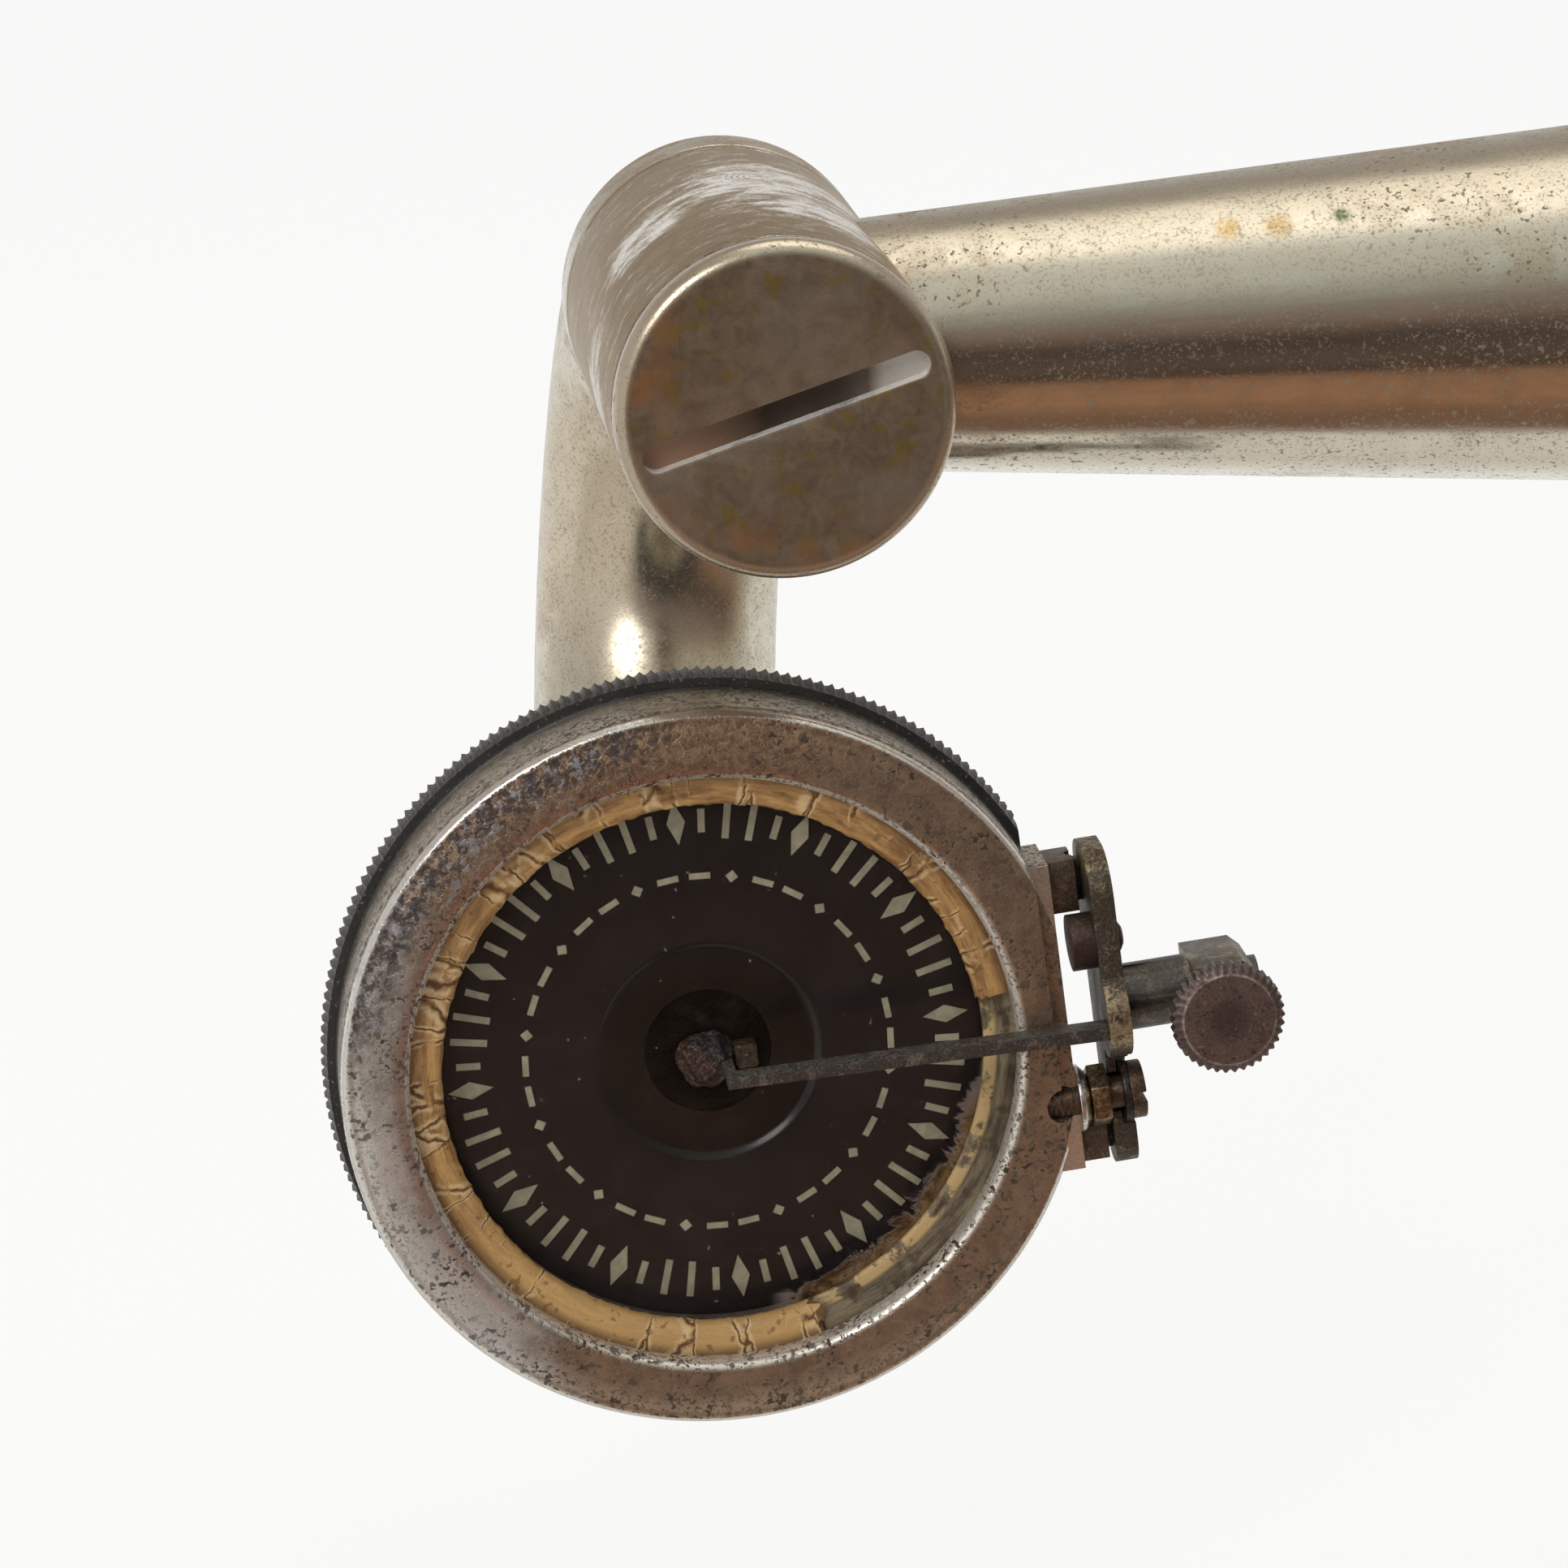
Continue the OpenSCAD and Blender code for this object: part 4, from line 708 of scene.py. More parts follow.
def yoke_finish(colours):
    """Blackened brass of the yoke plate, rubbed to brass on its lobe and its upper edge."""
    made = Finish("yoke plate", AT_BOX)
    film = made.clouds(0.9, detail=7.0, roughness=0.75, distortion=0.6)
    grain = made.clouds(5.0, detail=5.0, roughness=0.75)
    lobe = made.levels(made.y, -1.9, -3.3)
    shoulder = made.levels(made.z, 8.5, 11.0)
    amount = made.total(made.product(film, 0.65), made.product(grain, 0.4), made.product(lobe, 0.14),
                        made.product(shoulder, 0.09))
    worn = made.levels(amount, 0.54, 0.72)
    made.ground(made.levels(grain, 0.3, 0.7), (0.06, 0.048, 0.038), (0.14, 0.115, 0.088))
    made.coat(worn, colours.brass, 0.85)
    spots = made.most(made.pits(5.5, 0.57, 0.7), made.pits(2.2, 0.64, 0.9))
    made.coat(spots, colours.pit, 0.8)
    made.set(Base_Color=made.tone, Roughness=made.levels(amount, 0.45, 0.8, 0.5, 0.34), Metallic=0.7)
    made.bump(made.total(grain, film, made.product(spots, -0.5)), 0.045, 0.6)
    return made.material


def wax_finish(name, colours, base, dark_part):
    """Sealing wax, lumpy and glossy, with a blue-black part where it is burnt and a pale crust."""
    made = Finish(name, AT_BOX)
    blots = made.clouds(0.7, detail=4.0, roughness=0.6, distortion=0.6)
    grain = made.clouds(2.2, detail=5.0, roughness=0.7)
    made.ground(made.levels(grain, 0.36, 0.64), shaded(base, 0.2), base)
    burnt = made.levels(made.total(made.x, made.product(made.z, 0.9),
                                   made.levels(blots, 0.3, 0.7, -1.2, 1.2)), -0.2, 0.5, 0.0, dark_part)
    made.coat(burnt, (0.009, 0.01, 0.016))
    crust = made.product(made.levels(blots, 0.47, 0.5), made.levels(blots, 0.53, 0.5), dark_part)
    made.coat(crust, (0.3, 0.2, 0.13), 0.5)
    made.coat(made.pits(3.0, 0.68), colours.dust, 0.4)
    made.set(Base_Color=made.tone, Roughness=made.levels(grain, 0.3, 0.7, 0.14, 0.4), Coat_Weight=0.2)
    made.bump(made.total(blots, grain), 0.5, 0.9)
    return made.material


def felt_finish(colours):
    """Pressed felt of the base's seal."""
    made = Finish("felt", AT_BASE)
    fibre = made.clouds(2.2, detail=6.0, roughness=0.8, distortion=1.5)
    made.ground(made.levels(fibre, 0.3, 0.7), shaded(colours.felt, 0.5), colours.felt)
    made.set(Base_Color=made.tone, Roughness=0.95, Sheen_Weight=0.4)
    made.bump(fibre, 0.2, 0.8)
    return made.material


def floor_finish(settings):
    """Pale floor with a soft shadow, white to the camera, and a brown bench in front and pale paper with a
    painted shadow band that metal sees.
    """
    material = bpy.data.materials.new("pale floor")
    material.use_nodes = True
    made = Wiring(material.node_tree)
    made.tree.nodes.clear()
    path = made.node("ShaderNodeLightPath").outputs
    lit = made.node("ShaderNodeBsdfDiffuse", {"Color": tuple(settings.floor)})
    white = made.node("ShaderNodeEmission", {"Color": (1.0, 1.0, 0.995)})
    seen = made.most(path["Is Camera Ray"], path["Is Transmission Ray"])
    shown = made.node("ShaderNodeMixShader", {0: made.product(seen, 0.86), 1: lit.outputs[0],
                                              2: white.outputs[0]})
    x, y, _ = made.parts(made.node("ShaderNodeTexCoord").outputs["Object"])
    across = made.math("SUBTRACT", x, made.product(y, 0.62))
    bench = made.product(made.levels(y, -0.02, -0.034), made.levels(across, -0.25, -0.215))
    wood = made.ramp(made.product(y, -1.0), (0.03, (0.17, 0.1, 0.075)), (0.06, (0.21, 0.12, 0.08)),
                     (0.09, (0.33, 0.18, 0.108)), (0.17, (0.29, 0.16, 0.1)), (0.2, (0.06, 0.042, 0.036)),
                     (0.27, (0.105, 0.075, 0.062)), (0.95, (0.075, 0.055, 0.05)))
    # Paper that metal sees: pale, with a darker band at 0.13 that is a painted shadow.
    paper = made.ramp(made.total(y, 0.1), (0.08, (0.67, 0.645, 0.6)), (0.13, (0.56, 0.53, 0.48)),
                      (0.19, (0.78, 0.78, 0.77)), (0.5, (0.86, 0.865, 0.87)))
    mirrored = made.node("ShaderNodeEmission", {"Color": made.mix(bench, paper, wood)})
    final = made.node("ShaderNodeMixShader", {0: path["Is Glossy Ray"], 1: shown.outputs[0],
                                              2: mirrored.outputs[0]})
    made.node("ShaderNodeOutputMaterial", {"Surface": final.outputs[0]})
    return material


def studio_world(settings):
    """Room light, white to the camera, with the dim front and light sides of a room for metal to show."""
    world = bpy.data.worlds.new("studio")
    world.use_nodes = True
    made = Wiring(world.node_tree)
    made.tree.nodes.clear()
    x, y, z = made.parts(made.node("ShaderNodeTexCoord").outputs["Generated"])
    bearing = made.math("ARCTAN2", x, made.product(y, -1.0))
    height = made.product(made.math("ARCSINE", z), 2 / math.pi)
    front = made.product(made.levels(bearing, -0.73, -0.31), made.levels(bearing, 1.66, 1.08))
    dim = made.ramp(height, (0.0, (0.1, 0.072, 0.062)), (0.08, (0.19, 0.136, 0.116)),
                    (0.21, (0.25, 0.216, 0.2)), (0.34, (0.39, 0.4, 0.38)), (0.5, (0.63, 0.645, 0.61)),
                    (0.67, (0.77, 0.79, 0.76)), (0.88, (0.94, 0.935, 0.925)), (1.0, (0.9, 0.89, 0.86)))
    light = made.ramp(height, (0.0, (0.66, 0.645, 0.63)), (0.2, (0.6, 0.58, 0.56)),
                      (0.39, (0.49, 0.45, 0.43)), (0.55, (0.375, 0.333, 0.3)), (0.78, (0.5, 0.46, 0.4)),
                      (0.92, (0.71, 0.69, 0.63)), (1.0, (0.9, 0.89, 0.86)))
    path = made.node("ShaderNodeLightPath").outputs
    even = shaded((0.98, 0.985, 1.0), settings.sky)
    shown = made.mix(path["Is Glossy Ray"], even, made.mix(front, light, dim))
    shown = made.mix(path["Is Camera Ray"], shown, (0.955, 0.955, 0.95))
    back = made.node("ShaderNodeBackground", {"Color": shown})
    made.node("ShaderNodeOutputWorld", {"Surface": back.outputs[0]})
    return world


def softened(points, cut):
    """Closed profile with its corners rounded off."""
    result = []
    for index, point in enumerate(points):
        here = Vector(point)
        before = Vector(points[index - 1]) - here
        after = Vector(points[(index + 1) % len(points)]) - here
        reach = min(cut, before.length * CORNER_SHARE, after.length * CORNER_SHARE)
        start = here + before.normalized() * reach
        end = here + after.normalized() * reach
        for step in range(CORNER_STEPS + 1):
            t = step / CORNER_STEPS
            result.append(tuple((1 - t) ** 2 * start + 2 * t * (1 - t) * here + t * t * end))
    return result


def arc_points(centre, radius, start, end, steps):
    """Points of an arc between two angles in degrees."""
    made = []
    for step in range(steps + 1):
        angle = math.radians(start + (end - start) * step / steps)
        made.append((centre[0] + radius * math.cos(angle), centre[1] + radius * math.sin(angle)))
    return made


def fill_holes(made):
    """Closes the open edges of a mesh."""
    bmesh.ops.holes_fill(made, edges=[edge for edge in made.edges if edge.is_boundary], sides=0)


def cut_off(made, place, facing):
    """Cuts off what lies beyond a plane and closes the cut."""
    bmesh.ops.bisect_plane(made, geom=list(made.verts) + list(made.edges) + list(made.faces),
                           plane_co=place, plane_no=facing, clear_outer=True)
    fill_holes(made)


def extruded(made, edges):
    """New vertices and edges of a mesh whose open edges are extruded in place."""
    grown = bmesh.ops.extrude_edge_only(made, edges=edges)["geom"]
    verts = [item for item in grown if isinstance(item, bmesh.types.BMVert)]
    return verts, [item for item in grown if isinstance(item, bmesh.types.BMEdge)]


def walled(made, wall):
    """Merges the seams of a swept surface and gives it a wall."""
    bmesh.ops.remove_doubles(made, verts=made.verts, dist=SEAM)
    bmesh.ops.recalc_face_normals(made, faces=made.faces)
    bmesh.ops.solidify(made, geom=made.faces, thickness=wall)


def turned(profile, axis, segments, sweep=FULL_TURN):
    """Spins a closed profile of [radius, place along the axis] points about the X or the Y axis."""
    made = bmesh.new()
    if axis == "X":
        turn = (1, 0, 0)
        corners = [made.verts.new((along, 0.0, radius)) for radius, along in profile]
    else:
        turn = (0, -1, 0)
        corners = [made.verts.new((radius, along, 0.0)) for radius, along in profile]
    edges = [made.edges.new(pair) for pair in zip(corners, corners[1:] + corners[:1])]
    whole = sweep == FULL_TURN
    bmesh.ops.spin(made, geom=corners + edges, cent=(0, 0, 0), axis=turn, dvec=(0, 0, 0),
                   angle=sweep, steps=segments, use_merge=whole, use_duplicate=False)
    bmesh.ops.remove_doubles(made, verts=made.verts, dist=MERGE)
    if not whole:
        fill_holes(made)
    bmesh.ops.recalc_face_normals(made, faces=made.faces)
    return made


def stacked_rings(segments, rings, closed=True):
    """Rings of [radius, depth] about Y, joined one to the next."""
    made = bmesh.new()
    bmesh.ops.create_circle(made, segments=segments, radius=1.0,
                            matrix=Matrix.Rotation(math.pi / 2, 4, "X"))
    verts, edges = list(made.verts), list(made.edges)
    last_r = 1.0
    for index, (radius, depth) in enumerate(rings):
        if index:
            verts, edges = extruded(made, edges)
        for vert in verts:
            vert.co = Vector((vert.co.x * radius / last_r, depth, vert.co.z * radius / last_r))
        last_r = radius
    if closed:
        bmesh.ops.remove_doubles(made, verts=made.verts, dist=MERGE)
    bmesh.ops.recalc_face_normals(made, faces=made.faces)
    return made


def radius_of(vert):
    """Distance of a vertex from the Y axis."""
    return math.hypot(vert.co.x, vert.co.z)


def set_radius(vert, radius):
    """Moves a vertex out or in to a distance from the Y axis."""
    share = radius / radius_of(vert)
    vert.co.x *= share
    vert.co.z *= share


def tooth_turn(vert, count):
    """Place of a vertex about the Y axis, counted in teeth."""
    return math.atan2(vert.co.z, vert.co.x) / FULL_TURN * count


def rim_teeth(made, count, low_r, height, front, back):
    """Raises pointed teeth on the vertices outside a radius, sloped off at the front and the back."""
    front_slope, back_slope = 0.9, 0.5
    for vert in made.verts:
        radius = radius_of(vert)
        if radius < low_r:
            continue
        turn = tooth_turn(vert, count)
        wave = 1 - abs(2 * (turn - math.floor(turn)) - 1)
        crown = min(1.0, (vert.co.y - front) / front_slope, (back - vert.co.y) / back_slope)
        set_radius(vert, radius + height * wave * crown)


def node_copy(node, bevel, segments=2):
    """Copy of a CAD node in millimetres with its flat faces joined and its edges eased."""
    made = bmesh.new()
    made.from_mesh(frame["nodes"][node].data)
    bmesh.ops.scale(made, vec=(1 / MM, 1 / MM, 1 / MM), verts=made.verts)
    bmesh.ops.remove_doubles(made, verts=made.verts, dist=1e-3)
    bmesh.ops.dissolve_limit(made, angle_limit=math.radians(0.6), verts=made.verts, edges=made.edges)
    limit = math.radians(32.0)
    sharp = [edge for edge in made.edges if edge.is_manifold and edge.calc_face_angle() > limit]
    bmesh.ops.bevel(made, geom=sharp, offset=bevel, offset_type="OFFSET", affect="EDGES",
                    segments=segments, profile=0.5, material=-1, clamp_overlap=True)
    return made


def mesh_from(name, made):
    """Mesh with the shape of a bmesh, which is freed."""
    mesh = bpy.data.meshes.new(name)
    made.to_mesh(mesh)
    made.free()
    return mesh


def added(name, data):
    """New object in the scene."""
    made = bpy.data.objects.new(name, data)
    bpy.context.scene.collection.objects.link(made)
    return made


def piece(name, made, at, body, nodes, material, sharp=38.0):
    """Object from a mesh placed in its vertices, which stands for CAD nodes and rides on a body."""
    bmesh.ops.transform(made, matrix=at, verts=made.verts)
    mesh = mesh_from(name, made)
    mesh.shade_smooth()
    mesh.set_sharp_from_angle(angle=math.radians(sharp))
    mesh.materials.append(material)
    made_object = added(name, mesh)
    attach(made_object, body)
    if nodes:
        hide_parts(*nodes)


def eased(node, bevel, segments, body, material, sharp=30.0):
    """Piece that stands for a CAD node with the same shape and eased edges."""
    piece(node + "_eased", node_copy(node, bevel, segments), AT_BASE, body, [node], material, sharp)


def carved(made, cutter, operation="DIFFERENCE"):
    """Result of cutting one mesh with another, or of joining the two."""
    target = added("carved", mesh_from("carved", made))
    tool = added("cutter", mesh_from("cutter", cutter))
    change = target.modifiers.new("cut", "BOOLEAN")
    change.operation = operation
    change.solver = "MANIFOLD"
    change.object = tool
    depsgraph = bpy.context.evaluated_depsgraph_get()
    result = bmesh.new()
    result.from_mesh(target.evaluated_get(depsgraph).to_mesh())
    bpy.data.objects.remove(target)
    bpy.data.objects.remove(tool)
    bmesh.ops.remove_doubles(result, verts=result.verts, dist=MERGE)
    return result


def block(low, high):
    """Plain block between two corners, for cutting."""
    made = bmesh.new()
    low, high = Vector(low), Vector(high)
    bmesh.ops.create_cube(made, size=1.0)
    bmesh.ops.scale(made, vec=high - low, verts=made.verts)
    bmesh.ops.translate(made, vec=(low + high) / 2, verts=made.verts)
    return made


def rod(made, radius, depth, segments, at):
    """Adds a round rod that lies along the Z axis of a matrix."""
    bmesh.ops.create_cone(made, cap_ends=True, segments=segments, radius1=radius, radius2=radius,
                          depth=depth, matrix=at)


def on_circle(turn, circle_r, depth):
    """Matrix of a screw on a circle about the Y axis, along that axis."""
    return (Matrix.Rotation(math.radians(turn), 4, "Y") @ Matrix.Translation((circle_r, depth, 0))
            @ Matrix.Rotation(math.pi / 2, 4, "X"))


def repaint(node, material):
    """Gives a CAD node that keeps its shape a new finish."""
    mesh = frame["nodes"][node].data
    mesh.materials.clear()
    mesh.materials.append(material)


class TONEARM_OT_studio(bpy.types.Operator):
    """Camera, floor, lights and room"""

    bl_idname = "tonearm.studio"
    bl_label = "Studio"

    def execute(self, context):
        settings = context.scene.studio_settings
        scene = context.scene
        scene.view_settings.view_transform = "Standard"
        scene.world = studio_world(settings)
        data = bpy.data.cameras.new("camera")
        data.lens = 134.54
        data.sensor_width = 36.0
        data.clip_start = 0.01
        data.clip_end = 20.0
        right = Vector((0.99284, -0.11372, -0.03669))
        up = Vector((0.06552, 0.26124, 0.96305))
        turn = Matrix((right, up, right.cross(up))).transposed().to_4x4()
        scene.camera = added("camera", data)
        scene.camera.matrix_world = Matrix.Translation((-0.24753, -0.38914, 0.17576)) @ turn
        self.lamp("key light", (-0.75, -0.74, 0.66), 0.5, settings.key_power, (1.0, 0.97, 0.93))
        self.lamp("top light", (0.05, 0.1, 1.1), 0.9, settings.top_power, (1.0, 0.95, 0.87))
        floor = bmesh.new()
        bmesh.ops.create_grid(floor, x_segments=8, y_segments=8, size=4.0)
        ground = added("floor", mesh_from("floor", floor))
        ground.data.materials.append(floor_finish(settings))
        return {"FINISHED"}

    def lamp(self, name, place, size, power, tone):
        """Adds a soft round lamp that shines on the middle of the arm."""
        data = bpy.data.lights.new(name, "AREA")
        data.shape = "DISK"
        data.size = size
        data.energy = power
        data.color = tone
        made = added(name, data)
        made.location = place
        aim = Vector((-0.15, 0.0, 0.06)) - Vector(place)
        made.rotation_euler = aim.to_track_quat("-Z", "Y").to_euler()
        made.visible_camera = False


class TONEARM_OT_arm(bpy.types.Operator):
    """Taper tube, elbow and ferrule"""

    bl_idname = "tonearm.arm"
    bl_label = "Tone arm"

    def execute(self, context):
        size = in_mm(context.scene.tone_arm_sizes)
        colours = context.scene.tone_arm_colours
        plate = nickel_finish("arm nickel", AT_ARM, colours, 0.7, 0.5, (
            ((-176.4, -6.75, 7.75), 1.3, (0.42, 0.3, 0.14)),
            ((-173.0, -7.05, 7.85), 1.4, (0.4, 0.29, 0.14)),
            ((-168.7, -7.0, 8.3), 0.9, (0.09, 0.12, 0.06)),
        ), (0.04, 1.4, 1.4))
        reach = -CROSS_AT.x / MM
        straight = reach - size.elbow_r
        start = 7.0

        def tube_r(step):
            return size.small_r + (size.big_r - size.small_r) * step / straight

        steps = [start + (straight - start) * index / 24 for index in range(25)]
        outside = [(tube_r(step), step - reach) for step in steps]
        inside = [(tube_r(step) - size.wall, step - reach) for step in reversed(steps)]
        made = turned(outside + inside, "X", 144)
        saddle_r = size.cross_r - 0.35
        for vert in made.verts:
            if vert.co.x < start - reach + 0.01:
                vert.co.x = math.sqrt(max(saddle_r ** 2 - vert.co.z ** 2, 1.0)) - reach
        piece("taper_tube_plated", made, AT_ARM, "tone_arm", ["taper_tube"], plate)

        elbow = bmesh.new()
        bmesh.ops.create_circle(elbow, segments=96, radius=size.big_r,
                                matrix=Matrix.Rotation(math.pi / 2, 4, "Y"))
        bmesh.ops.translate(elbow, vec=(-size.elbow_r, 0, 0), verts=elbow.verts)
        bmesh.ops.spin(elbow, geom=list(elbow.verts) + list(elbow.edges),
                       cent=(-size.elbow_r, 0, -size.elbow_r), axis=(0, 1, 0), dvec=(0, 0, 0),
                       angle=math.pi / 2, steps=40, use_duplicate=False)
        end = [edge for edge in elbow.edges
               if edge.is_boundary and all(abs(vert.co.z + size.elbow_r) < 0.01 for vert in edge.verts)]
        for vert in extruded(elbow, end)[0]:
            vert.co.z = size.spigot_bottom - CROSS_AT.z / MM
        walled(elbow, size.wall)
        piece("rear_elbow_plated", elbow, AT_ARM, "tone_arm", ["rear_elbow"],
              nickel_finish("elbow nickel", AT_BASE, colours, 0.25, 0.6))

        ring_end = size.big_r + size.ferrule_proud
        left = -size.elbow_r - size.ferrule_w
        groove = left + size.ferrule_w / 2
        groove_r = ring_end - 0.35
        profile = [(tube_r(straight - size.ferrule_w) + 0.02, left), (ring_end, left),
                   (ring_end, groove - 0.5), (groove_r, groove - 0.25), (groove_r, groove + 0.25),
                   (ring_end, groove + 0.5), (ring_end, -size.elbow_r), (size.big_r + 0.02, -size.elbow_r)]
        piece("elbow_ferrule_turned", turned(softened(profile, 0.5), "X", 144), AT_ARM, "tone_arm",
              ["elbow_ferrule"], plate)
        return {"FINISHED"}


class TONEARM_OT_cross_tube(bpy.types.Operator):
    """Cross tube, friction washer and slotted cap"""

    bl_idname = "tonearm.cross_tube"
    bl_label = "Cross tube"

    def execute(self, context):
        size = in_mm(context.scene.tone_arm_sizes)
        colours = context.scene.tone_arm_colours
        inner = size.cross_r - size.cross_wall
        back = size.cross_half - 0.1
        line = back - 1.1
        profile = [(size.cross_r, -size.cross_half), (size.cross_r, line - 0.12),
                   (size.cross_r - 0.14, line), (size.cross_r, line + 0.12), (size.cross_r, back),
                   (inner, back), (inner, -size.cross_half)]
        piece("cross_tube_plated", turned(softened(profile, 0.2), "Y", 144), AT_CROSS, "tone_arm",
              ["cross_tube"], cross_finish(size, colours))
        face = (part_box("cap_screw")[0][1] - CROSS_AT.y) / MM
        eased("cap_screw", 0.07, 2, "gooseneck", cap_finish(face, colours), 38.0)
        repaint("friction_washer", steel_finish("washer brass", colours, (0.3, 0.22, 0.13), colours.brass,
                                                0.5, 0.7))
        return {"FINISHED"}


class TONEARM_OT_gooseneck(bpy.types.Operator):
    """Gooseneck with its journal, bend and tail"""

    bl_idname = "tonearm.gooseneck"
    bl_label = "Gooseneck"

    def execute(self, context):
        size = in_mm(context.scene.tone_arm_sizes)
        colours = context.scene.tone_arm_colours
        journal_r = size.cross_r - size.cross_wall - 0.05
        bend_y = size.cross_half + size.flare
        rings = [(journal_r, size.cross_half - 9.0), (journal_r, size.cross_half - 0.02),
                 (size.cross_r - 0.12, size.cross_half), (size.cross_r, size.cross_half + 0.12),
                 (size.cross_r, size.cross_half + size.flare_straight * 0.5),
                 (size.cross_r, size.cross_half + size.flare_straight)]
        for step in range(1, 13):
            t = step / 12
            rings.append((size.neck_r + (size.cross_r - size.neck_r) * (1 + math.cos(math.pi * t)) / 2,
                          size.cross_half + size.flare_straight + (size.flare - size.flare_straight) * t))
        made = stacked_rings(96, rings, closed=False)
        end = [edge for edge in made.edges if edge.is_boundary and edge.verts[0].co.y > bend_y - 0.01]
        verts = [vert for vert in made.verts if vert.is_boundary and vert.co.y > bend_y - 0.01]
        bmesh.ops.spin(made, geom=verts + end, cent=(0, bend_y, -size.neck_drop / 2), axis=(-1, 0, 0),
                       dvec=(0, 0, 0), angle=math.pi, steps=64, use_duplicate=False)
        tail = [edge for edge in made.edges
                if edge.is_boundary and edge.verts[0].co.z < -size.neck_drop / 2]
        for vert in extruded(made, tail)[0]:
            vert.co.y = size.tail_front
        walled(made, size.neck_wall)
        stains = (((-9.0, 49.0, -21.0), 17.0, (0.7, 0.6, 0.45)),)
        piece("gooseneck_plated", made, AT_NECK, "gooseneck", ["gooseneck_tube"],
              nickel_finish("neck nickel", AT_NECK, colours, 0.35, 0.85, stains, dulled=0.07))
        repaint("bayonet_pin", steel_finish("pin steel", colours, (0.3, 0.27, 0.23), (0.5, 0.46, 0.4),
                                            0.4, 0.6))
        return {"FINISHED"}


class TONEARM_OT_base(bpy.types.Operator):
    """Base flange and the swivel that carries the arm"""

    bl_idname = "tonearm.base"
    bl_label = "Base"

    def execute(self, context):
        colours = context.scene.tone_arm_colours
        plate = nickel_finish("base nickel", AT_BASE, colours, 0.4, 0.7)
        piece("base_flange_plated", node_copy("base_flange", 0.12), AT_BASE, "base", ["base_flange"],
              plate, 25.0)
        piece("bearing_collar_turned", node_copy("bearing_collar", 0.1), AT_BASE, "tone_arm",
              ["bearing_collar"], plate, 25.0)
        brass = steel_finish("nut brass", colours, (0.32, 0.24, 0.13), colours.brass, 0.45, 0.65,
                             dusty=0.15)
        eased("ring_nut", 0.15, 2, "tone_arm", brass, 38.0)
        repaint("bearing_balls", steel_finish("ball steel", colours, (0.55, 0.54, 0.52), (0.7, 0.69, 0.67),
                                              0.4, 0.6, rough=0.18, dusty=0.0, metal=1.0))
        repaint("felt_seal", felt_finish(colours))
        return {"FINISHED"}


class TONEARM_OT_casing(bpy.types.Operator):
    """Turned casing ring with its pad"""

    bl_idname = "tonearm.casing"
    bl_label = "Casing"

    def execute(self, context):
        size = in_mm(context.scene.sound_box_sizes)
        colours = context.scene.tone_arm_colours
        made = self.ring(size)
        pad_z = -0.3
        low, high = pad_z - size.pad_half, pad_z + size.pad_half
        pad_root, ledge_x, ledge_y = 22.1, size.pad_x - 1.1, 0.35
        past_x, past_y = size.case_r + 9, size.case_depth + 2
        pad = block((pad_root, ledge_y, low), (size.pad_x + 0.6, size.case_depth, high))
        made = carved(made, pad, "UNION")
        made = carved(made, block((size.pad_x, -2, low), (past_x, past_y, high)))
        made = carved(made, block((ledge_x, -2, low), (past_x, ledge_y, high)))
        scoop = bmesh.new()
        bmesh.ops.create_icosphere(scoop, subdivisions=4, radius=1.3,
                                   matrix=Matrix.Translation((ledge_x, 0.0, TENSION_Z)))
        made = carved(made, scoop)
        bore = bmesh.new()
        bore_at = Matrix.Translation((23.95, 0.9, TENSION_Z)) @ Matrix.Rotation(math.pi / 2, 4, "Y")
        rod(bore, 1.18, 3.9, 40, bore_at)
        made = carved(made, bore)
        for turn in CASE_SCREW_TURNS:
            hole = bmesh.new()
            rod(hole, SCREW_HOLE_R, 6.6, 24, on_circle(turn, CASE_SCREW_CIRCLE, size.case_depth))
            made = carved(made, hole)
        piece("casing_ring_plated", made, AT_BOX, "sound_box", ["casing_ring"],
              casing_finish(size, colours), 30.0)
        return {"FINISHED"}

    def ring(self, size):
        """Ring with a rounded lip, a hollow face, a ridge and a fine groove behind it."""
        lip_round = 0.8
        ridge_drop = 0.15
        groove_d = 0.14
        groove_w = 0.15
        back_cut = 0.15
        face_to = size.case_r - size.ridge_w
        face_from = size.lip_r + lip_round
        profile = [(size.bore_r, size.lip_back), (size.lip_r, size.lip_back)]
        profile += arc_points((face_from, -size.lip_proud + lip_round), lip_round, 180, 270, 8)
        for step in range(1, 14):
            t = step / 14
            profile.append((face_from + (face_to - face_from) * t,
                            -size.lip_proud + (size.lip_proud - ridge_drop) * t * t))
        profile += arc_points((face_to, size.ridge_w - ridge_drop), size.ridge_w, -90, 0, 10)
        groove_r = size.case_r - groove_d
        profile += [(groove_r, size.ridge_w), (groove_r, size.ridge_w + groove_w),
                    (size.case_r, size.ridge_w + 2 * groove_w), (size.case_r, size.case_depth - back_cut),
                    (size.case_r - back_cut, size.case_depth), (size.bore_r, size.case_depth)]
        return turned(profile, "Y", 192)


